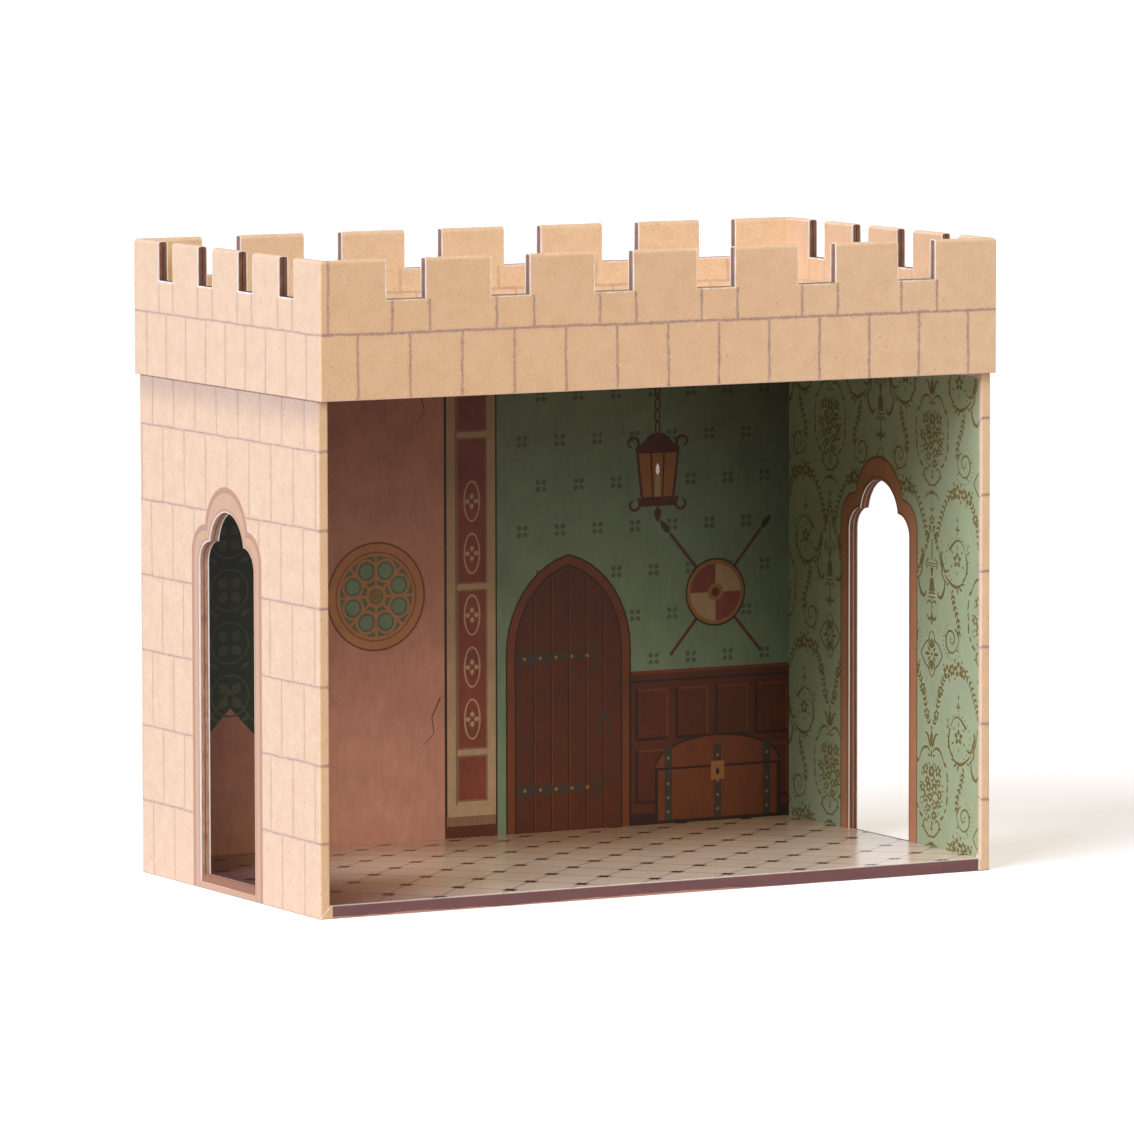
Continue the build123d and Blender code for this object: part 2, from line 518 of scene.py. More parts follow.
@dataclass(frozen=True)
class Surround:
    """The printed band round a doorway, with a darker outer stripe and two fine lines."""

    band: Colour
    stripe: Colour
    line: Colour
    width: float = 7.0
    stripe_width: float = 2.0
    inner_line: float = 1.1
    wear_start: float = 2.6

    def lay(self, surface: Surface, base: Paint) -> bpy.types.NodeSocket:
        """Paint the band over a base colour on a side wall.

        Args:
            surface: The material to paint.
            base: The colour around it.

        Returns:
            The colour with the band on it.
        """
        outer = DOORWAY.grown(self.width).gap(surface) + 0.12 * surface.noise(1.2, 2.0, 23.0)
        inner = DOORWAY.gap(surface) + 0.12 * surface.noise(1.2, 2.0, 29.0)
        inside = outer.below(0.0, 0.12)
        tone = surface.noise(1.0, 2.0, 31.0)
        colour = surface.mix(base, surface.shade(self.band, 0.16 * tone), inside)
        edge = outer.above(-self.stripe_width, 0.2) * inside
        colour = surface.mix(colour, surface.shade(self.stripe, 0.2 * tone), edge)
        fine = abs(outer + self.stripe_width).below(0.28, 0.16) * inside
        close = abs(inner - self.inner_line).below(0.24, 0.16)
        colour = surface.mix(colour, self.line, 0.7 * surface.most(fine, close))
        worn = inner.below(0.3, 0.14) * surface.z.above(self.wear_start) * surface.y.above(DOORWAY.middle - 4.0, 4.0)
        return surface.mix(colour, KRAFT.cut, worn * (0.8 + 2.0 * surface.noise(6.0, 2.0, 41.0)))


@dataclass(frozen=True)
class RoomStone:
    """Stone print of the room's walls: courses of upright blocks, breaking joint.

    The sheet is white where it is cut round the doorways and at the walls' front ends, and its
    flap over each sill is brown.
    """

    course: float = 31.2
    course_foot: float = -0.9
    pitch: float = 20.0
    even_start: float = 11.1
    odd_start: float = 0.9
    top_courses: float = 155.1
    top_shift: float = 1.4
    back: float = 82.5
    side: float = 154.4
    outer_face: float = 153.9
    inner_face: float = 150.0
    floor_top: float = 5.4
    lowest_bed: float = 4.0
    end_rise: float = 1.3
    end_stretch: float = 1.0138
    seam_slope: float = 1.15
    seam_top: float = 4.6
    opening: float = 26.5
    opening_top: float = 157.0
    # The sill flap's browns are the band's colour in painted shade; the second, darker one lies towards the inside.
    sill: Tuple[Colour, Colour] = (ink(150, 104, 80), ink(112, 72, 56))
    band: Surround = Surround(ink(206, 166, 134), ink(190, 146, 120), ink(160, 134, 126))
    # Painted shadow of the crown over the top course of the side walls.
    crown_shadow: Shade = Shade("z", 191.0, 206.4, (0.74, 0.74, 0.83, 1.0))

    def material(self) -> bpy.types.Material:
        """Make the finish of the sheet round the room.

        Returns:
            The material.
        """
        surface = Surface("stone_print_room")
        paper, relief = KRAFT.lay(surface)
        wobble = 0.9 * surface.noise(24.0, 1.0, 1.0) + 0.6 * surface.noise(4.0, 2.0, 9.0)
        facing = abs(surface.nx).above(0.5)
        u = surface.choose(facing, self.back - surface.y, surface.x + self.side)
        level = (surface.z - self.course_foot) / self.course
        odd = (level.floor() * 0.5).fract() * 2.0
        start = self.even_start + (self.odd_start - self.even_start) * odd
        start = start + self.top_shift * surface.z.above(self.top_courses)
        front_end = surface.ny.below(-0.4)
        stretched = (surface.z + self.end_rise) / self.end_stretch
        height = surface.choose(front_end * surface.x.above(0.0), stretched, surface.z)
        beds = abs((height + wobble).nearest(self.course_foot, self.course))
        beds = beds + CLEAR * surface.z.below(self.lowest_bed)
        joints = abs((u - start + wobble).nearest(0.0, self.pitch)) + CLEAR * front_end
        drawn = surface.most(MORTAR.draw(surface, beds), MORTAR.draw(surface, joints, 0.84))
        colour = surface.mix(paper, MORTAR.line, drawn)
        doors = abs(surface.x).above(self.outer_face) * facing
        colour = surface.mix(colour, self.band.lay(surface, colour), doors)
        # painted shadow under the crown
        colour = surface.mix(colour, self.crown_shadow.lay(surface, colour), doors)
        slant = abs(surface.z - (surface.x + self.side) * self.seam_slope).below(0.3, 0.14)
        seam = surface.choose(
            surface.x.below(0.0), slant * surface.z.below(self.seam_top),
            0.6 * surface.x.below(self.inner_face + 0.15, 0.1),
        )
        colour = surface.mix(colour, KRAFT.cut, 0.8 * seam * front_end)
        opening = abs(surface.y - DOORWAY.middle).below(self.opening)
        cut = (1.0 - facing) * opening * surface.z.below(self.opening_top)
        cut = cut * abs(surface.x).above(self.inner_face - 1.0)
        colour = surface.mix(colour, KRAFT.cut, cut * surface.z.above(self.floor_top - 0.1))
        sill = opening * surface.z.below(self.floor_top + 0.6) * surface.nz.above(0.2)
        # painted shade on the sill flap, deeper towards the inside
        fold = surface.mix(*self.sill, abs(surface.x).below(self.inner_face + 1.3, 0.2))
        fold = surface.mix(fold, KRAFT.cut, abs(abs(surface.x) - self.inner_face - 0.35).below(0.3, 0.1))
        colour = surface.mix(colour, fold, sill)
        return surface.finish(colour, KRAFT.roughness, relief, 0.03)


@dataclass(frozen=True)
class CrownStone:
    """Stone print of the crown: a course of blocks under the battlements' own joints.

    A merlon row is the first joint, the second one and the pitch of both, and a crenel row is the
    middle of the first crenel, their pitch and half their width, all from the wall's end.
    """

    bed: float = 232.6
    half_width: float = 155.0
    half_depth: float = 86.0
    front_pitch: float = 23.33
    front_start: float = 16.4
    front_merlon: Triple = (31.9, 48.6, 46.6)
    side_pitch: float = 18.4
    side_start: float = 12.3
    side_merlon: Triple = (24.0, 37.1, 36.6)
    corner_joint: float = 3.4
    plain_end: Point = (8.0, 7.0)
    inner_shift: Point = (4.7, 3.4)
    crenel_bottom: float = 246.0
    inner_side: float = 150.6
    inner_face: float = 81.6
    # Painted shade on the inner face of the crown's right wall.
    right_inner_shade: Colour = (0.88, 0.84, 0.74, 1.0)
    # Painted light on the inner face of the crown's back wall: above 1, so it lightens.
    back_inner_light: Colour = (1.10, 1.18, 1.24, 1.0)
    bare_board: Colour = ink(140, 108, 94)
    front_crenel: Triple = (38.0, 46.8, 8.8)
    side_crenel: Triple = (30.35, 37.1, 6.75)

    def material(self) -> bpy.types.Material:
        """Make the finish of the sheet round the crown.

        Returns:
            The material.
        """
        surface = Surface("stone_print_crown")
        paper, relief = KRAFT.lay(surface)
        wobble = 0.9 * surface.noise(22.0, 1.0, 2.0) + 0.6 * surface.noise(4.0, 2.0, 19.0)
        upright = abs(surface.nz).below(0.5)
        on_side_top = abs(surface.y).below(self.inner_face + 0.1) * (1.0 - upright)
        side = surface.most(abs(surface.nx).above(0.5) * upright, on_side_top)
        inside = abs(surface.x).below(self.inner_side + 0.1) * abs(surface.y).below(self.inner_face + 0.1) * upright
        across_front = surface.x + self.half_width + wobble + self.inner_shift[0] * inside
        across_side = self.half_depth - surface.y + wobble
        level = surface.z - self.inner_shift[1] * inside
        lower = level.below(self.bed)
        above = surface.z.above(self.crenel_bottom - 0.3)
        low_joint = surface.choose(
            side,
            abs(across_side.nearest(self.side_start, self.side_pitch)),
            abs(across_front.nearest(self.front_start, self.front_pitch)),
        )
        side_joint, front_joint = (
            surface.least(*(abs(across.nearest(start, starts[2])) for start in starts[:2]))
            for across, starts in ((across_side, self.side_merlon), (across_front, self.front_merlon))
        )
        side_end = across_side.above(2 * self.half_depth - self.plain_end[1])
        side_joint = side_joint + CLEAR * surface.most(above, side_end)
        front_joint = front_joint + CLEAR * surface.most(above, across_front.below(self.plain_end[0]))
        high_joint = surface.choose(side, side_joint, surface.least(front_joint, abs(across_front - self.corner_joint)))
        joints = surface.choose(lower, low_joint, high_joint)
        bed = abs(level - self.bed + wobble)
        weight = 1.0 - 0.5 * inside
        drawn = surface.most(MORTAR.draw(surface, bed), MORTAR.draw(surface, joints, 0.9)) * weight
        colour = surface.mix(paper, MORTAR.line, drawn)
        # painted light on the back wall's inner face
        colour = surface.mix(colour, self.back_inner_light, inside * surface.y.above(self.inner_face - 0.1), "MULTIPLY")
        facing_x, facing_y = abs(surface.nx).above(0.5), abs(surface.ny).above(0.5)
        torn = surface.most(
            self.worn(surface, self.half_depth - surface.y, self.side_crenel) * facing_x
            * abs(surface.y).below(self.half_depth - 2.0),
            self.worn(surface, surface.x + self.half_width, self.front_crenel) * facing_y
            * abs(surface.x).below(self.half_width - 2.0),
        )
        colour = surface.mix(colour, KRAFT.cut, torn * (0.65 + 2.4 * surface.noise(5.0, 2.0, 43.0)))
        first, pitch, half = self.front_crenel
        bare = (abs((surface.x + self.half_width).nearest(first, pitch)) - half).below(-0.1, 0.1)
        bare = bare * surface.z.above(self.crenel_bottom - 0.32, 0.1) * surface.y.below(1.0 - self.half_depth)
        colour = surface.mix(colour, self.bare_board, 0.8 * bare)
        # painted shade on the right wall's inner face
        colour = surface.mix(colour, self.right_inner_shade, inside * surface.x.above(self.inner_side - 0.1), "MULTIPLY")
        on_face_wall = abs(surface.y).above(self.inner_face - 0.2)
        on_side_wall = abs(surface.x).above(self.inner_side - 0.2)
        notch = surface.most(
            facing_x * on_face_wall * abs(surface.x).below(self.inner_side - 0.6),
            facing_y * on_side_wall * abs(surface.y).below(self.inner_face - 0.6),
            surface.nz.above(0.5) * surface.z.below(self.crenel_bottom + 0.6),
        )
        notch = notch * surface.z.above(self.crenel_bottom - 0.5)
        colour = surface.mix(colour, KRAFT.cut, notch)
        return surface.finish(colour, KRAFT.roughness, relief, 0.03)

    def worn(self, surface: Surface, across: Field, notches: Triple) -> Field:
        """White of the torn paper edge round the notches of one pair of walls.

        Args:
            surface: The material to draw on.
            across: Place along the wall in millimetres.
            notches: Middle of the first notch, the pitch and half a notch's width.

        Returns:
            1 along the notches' sides and bottoms and 0 elsewhere.
        """
        first, pitch, half = notches
        gap = surface.most(abs(across.nearest(first, pitch)) - half, 0.55 * (self.crenel_bottom - surface.z))
        return (gap + 0.5 * surface.noise(1.4, 2.0, 37.0)).below(0.34, 0.14)


@dataclass(frozen=True)
class CutBoard:
    """Cut edge of brown board: two plies, a seam of glue between them and the torn paper along both.

    The rim is how far from the seam the white of that paper starts.
    """

    tint: Colour = ink(202, 160, 136)
    dark: Colour = ink(146, 106, 84)
    seam_tint: Colour = ink(96, 64, 50)
    rim: float = 1.64
    roughness: float = 0.85

    def material(self, name: str, way: str, seam: float, grain: Triple) -> bpy.types.Material:
        """Make the finish of the plies on both sides of a seam.

        Args:
            name: Name of the material.
            way: The way across the seam: x, y or z.
            seam: How far that way the seam is from the middle, in millimetres.
            grain: How much longer the fibres are along x, y and z.

        Returns:
            The material.
        """
        surface = Surface(name)
        streak = surface.noise(0.55, 3.0, 4.0, grain)
        cloud = surface.noise(4.0, 2.0, 6.0)
        gap = abs(abs(surface.along(way)) - seam)
        colour = surface.mix(self.tint, self.dark, 0.42 + 1.5 * streak + 0.8 * cloud)
        groove = (gap + 0.12 * surface.noise(0.8, 1.0, 12.0)).below(0.22, 0.16)
        crushed = gap.above(1.55, 0.35)
        colour = surface.mix(colour, self.seam_tint, 0.8 * groove)
        colour = surface.mix(colour, self.dark, 0.45 * crushed)
        torn = (gap + 0.1 * surface.noise(1.6, 2.0, 14.0)).above(self.rim, 0.1)
        colour = surface.mix(colour, KRAFT.cut, 0.85 * torn)
        colour = surface.mix(colour, self.seam_tint, 0.6 * surface.nz.above(0.5))
        return surface.finish(colour, self.roughness, 0.5 + streak - 0.6 * groove, 0.12, 0.3)


@dataclass(frozen=True)
class TileSheet:
    """Floor print: cream tiles with dark lozenges at their corners, under a slight gloss."""

    tile: Colour = ink(240, 224, 204)
    worn: Colour = ink(226, 208, 184)
    dot: Colour = ink(58, 32, 24)
    line: Colour = ink(120, 90, 74)
    across: Terms = (
        (6.642, 0, 0), (9.153, 1, 0), (-0.016, 0, 1), (0.105, 2, 0), (0.164, 1, 1), (0.333, 0, 2),
    )
    along: Terms = (
        (3.773, 0, 0), (1.135, 1, 0), (5.744, 0, 1), (0.554, 2, 0), (0.283, 1, 1), (0.785, 0, 2),
        (-0.474, 3, 0), (-0.355, 2, 1), (-0.769, 1, 2), (0.37, 0, 3),
    )
    reach: Point = (150.0, 80.0)
    middle: float = -2.5
    dot_size: float = 0.228
    front: float = -82.0
    shades: Tuple[Shade, ...] = (
        Shade("y", -30.0, 75.0, (0.61, 0.51, 0.43, 1.0)), Shade("x", -58.0, -150.0, (0.14, 0.08, 0.12, 1.0)),
    )
    roughness: float = 0.24

    @staticmethod
    def bowed(u: Field, v: Field, terms: Terms) -> Number:
        """Place on the print of a point on the floor, where the sheet lies a little bowed.

        Args:
            u, v: The point's place along the floor and across it, each as a share of its reach.
            terms: What is added up, each a number and the powers of u and v that multiply it.

        Returns:
            The place one way, counted in half tiles.
        """
        total: Number = 0.0
        for part, ups, vps in terms:
            for factor in (u,) * ups + (v,) * vps:
                part = part * factor
            total = part + total
        return total

    def material(self) -> bpy.types.Material:
        """Make the finish of the floor sheet.

        Returns:
            The material.
        """
        surface = Surface("tile_print_floor")
        u, v = surface.x / self.reach[0], (surface.y - self.middle) / self.reach[1]
        across, along = self.bowed(u, v, self.across), self.bowed(u, v, self.along)
        p = abs((across + along).nearest(0.0, 2.0))
        q = abs((across - along).nearest(0.0, 2.0))
        cloud = surface.noise(18.0, 3.0, 2.0)
        grain = surface.noise(1.2, 3.0, 5.0, (9, 1, 1))
        colour = surface.mix(self.tile, self.worn, 0.5 + 1.4 * cloud + 1.2 * grain)
        ragged = 0.04 * surface.noise(1.2, 2.0, 8.0)
        thin = (surface.least(p, q) + ragged).below(0.04, 0.016)
        colour = surface.mix(colour, self.line, 0.6 * thin)
        dots = (surface.most(p, q) + ragged).below(self.dot_size, 0.014)
        colour = surface.mix(colour, self.dot, 0.94 * dots)
        for shade in self.shades:
            colour = shade.lay(surface, colour)
        colour = surface.mix(colour, KRAFT.cut, 0.6 * surface.y.below(self.front, 0.1))
        return surface.finish(colour, self.roughness, 0.5 + 0.5 * cloud, 0.04, 0.5 - 0.42 * dots)


@dataclass(frozen=True)
class PlainSheet:
    """A paper of one colour, with faint clouds and fibres."""

    tint: Colour
    roughness: float = 0.7

    def material(self, name: str) -> bpy.types.Material:
        """Make the finish.

        Args:
            name: Name of the material.

        Returns:
            The material.
        """
        surface = Surface(name)
        cloud = surface.noise(9.0, 2.0, 2.0)
        fibre = surface.noise(0.8, 3.0, 5.0)
        colour = surface.shade(self.tint, 0.14 * cloud + 0.16 * fibre)
        return surface.finish(colour, self.roughness, 0.5 + fibre, 0.03)


@dataclass(frozen=True)
class EdgeStrip:
    """The mauve strip along the front edge of the floor, torn off above a tan layer at its foot."""

    tint: Colour = ink(114, 76, 78)
    torn: Colour = ink(180, 140, 122)
    pale: Colour = ink(236, 222, 212)
    top: float = 5.1
    foot: float = -0.3
    tear: Shade = Shade("x", 110.0, 10.0, (1.0, 1.0, 1.0, 1.0))

    def material(self, name: str) -> bpy.types.Material:
        """Make the finish.

        Args:
            name: Name of the material.

        Returns:
            The material.
        """
        surface = Surface(name)
        fibre = surface.noise(0.8, 3.0, 5.0)
        colour = surface.shade(self.tint, 0.5 * surface.noise(6.0, 2.0, 1.0, (3, 1, 1)) + 0.4 * fibre)
        low = self.foot + self.tear.cover(surface) + 1.8 * surface.noise(5.0, 3.0, 15.0, (3, 1, 1))
        colour = surface.mix(colour, self.torn, (low - surface.z).above(0.0, 0.1))
        colour = surface.mix(colour, self.pale, 0.35 * surface.z.above(self.top - 0.2, 0.1))
        return surface.finish(colour, 0.6, 0.5 + fibre, 0.03)


class Ink(Enum):
    """The inks of the printed linings, each a colour on a colour chart and how far it clouds."""

    GREEN = ((168, 182, 142), 0.13)
    OLIVE = ((126, 112, 64), 0.16)
    SURROUND = ((190, 134, 95), 0.22)
    SURROUND_LINE = ((142, 96, 72), 0.2)
    PLASTER = ((200, 146, 130), 0.32)
    PLASTER_DARK = ((116, 74, 62), 0.25)
    HALL_GREEN = ((122, 148, 126), 0.3)
    HALL_SHADE = ((88, 104, 82), 0.30)
    CREAM = ((186, 160, 132), 0.25)
    CREAM_SHADE = ((138, 108, 86), 0.25)
    CRIMSON = ((134, 66, 54), 0.55)
    OAK = ((88, 40, 19), 0.40)
    OAK_LIGHT = ((118, 62, 34), 0.36)
    OAK_DARK = ((44, 19, 10), 0.30)
    IRON = ((62, 54, 48), 0.25)
    BRASS = ((164, 116, 66), 0.25)
    GLASS = ((98, 118, 94), 0.35)
    LEAF = ((44, 62, 46), 0.35)
    CUT = ((252, 249, 246), 0.04)

    @property
    def tint(self) -> Colour:
        """The ink as linear light."""
        return ink(*self.value[0])

    @property
    def cloud(self) -> float:
        """How strongly the ink varies over the sheet."""
        return self.value[1]


Shapes = List[Tuple[List[Point], Ink]]


@dataclass(frozen=True)
class PrintFinish:
    """How ink lies on the lining sheets: soft clouds, upright strokes, grain and painted shade."""

    roughness: float = 0.55

    def material(self, name: str, colour: Ink, shades: Sequence[Shade]) -> bpy.types.Material:
        """Make the finish of one ink.

        Args:
            name: Start of the material's name.
            colour: The ink.
            shades: How the print deepens over the sheet.

        Returns:
            The material.
        """
        surface = Surface(f"{name}_{colour.name.lower()}")
        cloud = surface.noise(16.0, 4.0, 3.0)
        grain = surface.noise(0.9, 3.0, 13.0)
        brush = surface.noise(2.4, 4.0, 29.0, (1, 1, 3))
        paint = surface.shade(colour.tint, colour.cloud * (1.6 * cloud + 1.1 * brush + grain))
        if colour is not Ink.CUT:
            for shade in shades:
                paint = shade.lay(surface, paint)
        return surface.finish(paint, self.roughness, 0.5 + grain, 0.03, 0.4)


def area_of(points: Sequence[Point]) -> float:
    """Area of a closed shape, negative where its corners run clockwise."""
    return sum(a[0] * b[1] - b[0] * a[1] for a, b in zip(points, list(points[1:]) + [points[0]])) / 2


def anticlockwise(points: Sequence[Point]) -> List[Point]:
    """The corners of a closed shape, turned to run anticlockwise."""
    return list(points) if area_of(points) > 0 else list(points)[::-1]


def corner_numbers(shapes: Shapes) -> List[List[int]]:
    """Number the corners of each shape, as they stand when all are in one list.

    Args:
        shapes: The shapes.

    Returns:
        The numbers, a list for each shape.
    """
    numbers, first = [], 0
    for shape, _ in shapes:
        numbers.append(list(range(first, first + len(shape))))
        first += len(shape)
    return numbers


class Pen:
    """Draws closed shapes on a flat sheet, in millimetres along it and up it."""

    def __init__(self) -> None:
        """Start with nothing drawn."""
        self.shapes: Shapes = []

    def fill(self, colour: Ink, points: Sequence[Point]) -> None:
        """Draw one closed shape, unless it is squeezed to nothing."""
        if abs(area_of(points)) > 1e-2:
            self.shapes.append((anticlockwise(points), colour))

    def box(self, colour: Ink, left: float, foot: float, right: float, top: float) -> None:
        """Draw a rectangle between its sides."""
        self.fill(colour, [(left, foot), (right, foot), (right, top), (left, top)])

    def disc(self, colour: Ink, middle: Point, across: float, high: Optional[float] = None, sides: int = 20) -> None:
        """Draw an ellipse.

        Args:
            colour: Its ink.
            middle: Its centre.
            across: Half its width.
            high: Half its height, or nothing for a circle.
            sides: How many corners it has.
        """
        rise = across if high is None else high
        self.fill(colour, [
            (middle[0] + across * math.cos(math.tau * k / sides), middle[1] + rise * math.sin(math.tau * k / sides))
            for k in range(sides)
        ])

    def leaf(self, colour: Ink, foot: Point, turn: float, length: float, width: float) -> None:
        """Draw a pointed leaf.

        Args:
            colour: Its ink.
            foot: Where it starts.
            turn: Degrees that it points to, from along the sheet towards up.
            length: Its length.
            width: Its width.
        """
        c, s = math.cos(math.radians(turn)), math.sin(math.radians(turn))
        outline = ((0, 0), (0.3, -0.42), (0.65, -0.38), (1, 0), (0.65, 0.38), (0.3, 0.42))
        self.fill(colour, [
            (foot[0] + length * a * c - width * b * s, foot[1] + length * a * s + width * b * c) for a, b in outline
        ])

    def stroke(self, colour: Ink, path: Sequence[Point], start: float, middle: float, end: float) -> None:
        """Draw a line whose width swells or tapers.

        Args:
            colour: Its ink.
            path: Points along it.
            start: Its width at the first point.
            middle: Its width half way.
            end: Its width at the last point.
        """
        count = len(path)
        sides: List[Tuple[Point, Point]] = []
        for k, (x, y) in enumerate(path):
            before, after = path[max(k - 1, 0)], path[min(k + 1, count - 1)]
            dx, dy = after[0] - before[0], after[1] - before[1]
            size = math.hypot(dx, dy) or 1.0
            share = k / (count - 1)
            width = start + (middle - start) * 2 * share if share < 0.5 else middle + (end - middle) * (2 * share - 1)
            ox, oy = -dy / size * width / 2, dx / size * width / 2
            sides.append(((x + ox, y + oy), (x - ox, y - oy)))
        for (a, b), (c, d) in zip(sides, sides[1:]):
            self.fill(colour, [a, b, d, c])

    def scroll(self, colour: Ink, middle: Point, radii: Point, turns: Point, widths: Triple, steps: int) -> None:
        """Draw a spiral.

        Args:
            colour: Its ink.
            middle: Its centre.
            radii: Its radius at the start and at the end.
            turns: Degrees at the start and at the end.
            widths: Its width at the start, half way and at the end.
            steps: How many runs it has.
        """
        path = []
        for k in range(steps + 1):
            share = k / steps
            radius = radii[0] + (radii[1] - radii[0]) * share
            angle = math.radians(turns[0] + (turns[1] - turns[0]) * share)
            path.append((middle[0] + radius * math.cos(angle), middle[1] + radius * math.sin(angle)))
        self.stroke(colour, path, *widths)

    def garland(self, colour: Ink, path: Sequence[Point], length: float, width: float) -> None:
        """Draw a chain of small leaves on both sides of a path.

        Args:
            colour: Its ink.
            path: Points along it, with two leaves at each.
            length: A leaf's length.
            width: A leaf's width.
        """
        for k, (x, y) in enumerate(path[:-1]):
            dx, dy = path[k + 1][0] - x, path[k + 1][1] - y
            way = math.degrees(math.atan2(dy, dx))
            for side in (-38, 38):
                self.leaf(colour, (x, y), way + side, length, width)

    def beads(self, colour: Ink, path: Sequence[Point], radius: float) -> None:
        """Draw a small dot at each point of a path."""
        for spot in path:
            self.disc(colour, spot, radius, sides=6)

    def mirror(self) -> None:
        """Draw everything once more, mirrored from side to side."""
        for points, colour in list(self.shapes):
            self.fill(colour, [(-x, y) for x, y in points])

    def flower(self, colour: Ink, middle: Point, radius: float, petals: int, first: float = 90.0) -> None:
        """Draw petals round a point, with a small gap at their centre.

        Args:
            colour: Its ink.
            middle: Its centre.
            radius: How far the petals reach.
            petals: How many there are.
            first: Degrees that the first one points to.
        """
        for k in range(petals):
            turn = first + 360.0 * k / petals
            a = math.radians(turn)
            foot = (middle[0] + 0.22 * radius * math.cos(a), middle[1] + 0.22 * radius * math.sin(a))
            self.leaf(colour, foot, turn, 0.8 * radius, 0.72 * radius)

    def ring(self, colour: Ink, middle: Point, across: float, high: float, width: float, sides: int = 24) -> None:
        """Draw an ellipse's line.

        Args:
            colour: Its ink.
            middle: Its centre.
            across, high: Its half sizes.
            width: The line's width.
            sides: How many runs it has.
        """
        for k in range(sides):
            a, b = math.tau * k / sides, math.tau * (k + 1.0) / sides
            corners = [
                (middle[0] + (across + w) * math.cos(t), middle[1] + (high + w) * math.sin(t))
                for t, w in ((a, -width / 2), (a, width / 2), (b, width / 2), (b, -width / 2))
            ]
            self.fill(colour, corners)


def smooth(path: Sequence[Point], steps: int = 4) -> List[Point]:
    """Points along a soft curve through the given ones.

    Args:
        path: The points that it passes through.
        steps: How many runs it has from one of them to the next.

    Returns:
        The points.
    """
    ends = [path[0], *path, path[-1]]
    points = []
    for spots in zip(ends, ends[1:], ends[2:], ends[3:]):
        for k in range(steps):
            t = k / steps
            points.append(tuple(
                b + 0.5 * t * (c - a + t * (2 * a - 5 * b + 4 * c - d + t * (3 * b - a - 3 * c + d)))
                for a, b, c, d in zip(*spots)
            ))
    return points + [path[-1]]


def arc(middle: Point, across: float, high: float, start: float, end: float, steps: int) -> List[Point]:
    """Points along part of an ellipse.

    Args:
        middle: Its centre.
        across, high: Its half sizes.
        start, end: Degrees where the part starts and ends.
        steps: How many runs it has.

    Returns:
        The points.
    """
    turns = [math.radians(start + (end - start) * k / steps) for k in range(steps + 1)]
    return [(middle[0] + across * math.cos(t), middle[1] + high * math.sin(t)) for t in turns]


@dataclass
class PrintedSheet:
    """A lining sheet with its print pressed into its face: a closed thin solid.

    Its face is cut along the outline of every printed shape, and each part carries its ink.
    """

    name: str
    node: str
    slot: Slot
    origin: Triple
    along: Triple
    outline: List[Point]
    notch: List[Point]
    shades: Sequence[Shade]
    thickness: float = 0.3

    def place(self, flat: Vector, depth: float) -> Vector:
        """The place in metres of a point on the sheet's face, or of one at a depth behind it."""
        step, up = Vector(self.along), Vector((0, 0, 1))
        return (Vector(self.origin) + step * flat.x + up * flat.y - step.cross(up) * depth) * MM

    def solid(self, flat: Sequence[Vector], faces: Sequence[Sequence[int]]) -> bpy.types.Mesh:
        """Close the sheet behind its face.

        Args:
            flat: Corners on the face.
            faces: Parts of the face, by their corners' numbers.

        Returns:
            The closed mesh, with the parts of the face first.
        """
        used = sorted({corner for face in faces for corner in face})
        number = {corner: k for k, corner in enumerate(used)}
        edges = {(a, b) for face in faces for a, b in zip(face, list(face[1:]) + [face[0]])}
        rim = {a: b for a, b in edges if (b, a) not in edges}
        behind = {corner: len(used) + k for k, corner in enumerate(rim)}
        sides = [(number[b], number[a], behind[a], behind[b]) for a, b in rim.items()]
        loop, at = [], next(iter(rim))
        while len(loop) < len(rim):
            loop.append(behind[at])
            at = rim[at]
        spots = [self.place(flat[corner], 0.0) for corner in used]
        spots += [self.place(flat[corner], self.thickness) for corner in rim]
        front = [tuple(number[corner] for corner in face) for face in faces]
        mesh = bpy.data.meshes.new(self.name)
        mesh.from_pydata(spots, [], front + sides + [tuple(reversed(loop))])
        return mesh

    def build(self, ground: Ink, shapes: Shapes) -> bpy.types.Object:
        """Cut the face along the shapes and close the sheet behind it.

        Args:
            ground: Ink of the face where nothing is drawn.
            shapes: What is drawn on it, from the bottom up.

        Returns:
            The sheet, riding on the castle in place of the plain one.
        """
        notches = [(self.notch, Ink.CUT)] if self.notch else []
        layers = [(self.outline, ground), *notches, *shapes]
        corners = [Vector(corner) for shape, _ in layers for corner in shape]
        flat, _, cut, _, _, sources = delaunay_2d_cdt(corners, [], corner_numbers(layers), 1, 1e-4)
        hole = 1 if self.notch else -1
        kept = [(face, max(source)) for face, source in zip(cut, sources) if 0 in source and hole not in source]
        mesh = self.solid(flat, [face for face, _ in kept])
        drawn = {layers[top][1] for _, top in kept} - {ground, Ink.CUT}
        inks = [Ink.CUT, ground] + sorted(drawn, key=lambda colour: colour.name)
        for colour in inks:
            mesh.materials.append(PrintFinish().material(self.name, colour, self.shades))
        for polygon, (_, top) in zip(mesh.polygons, kept):
            polygon.material_index = inks.index(layers[top][1])
        mesh.validate()
        piece = bpy.data.objects.new(self.name, mesh)
        bpy.context.scene.collection.objects.link(piece)
        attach(piece, "root")
        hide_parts(self.node)
        LOG.info("%s has %d faces in %d inks", self.name, len(mesh.polygons), len(inks))
        return piece


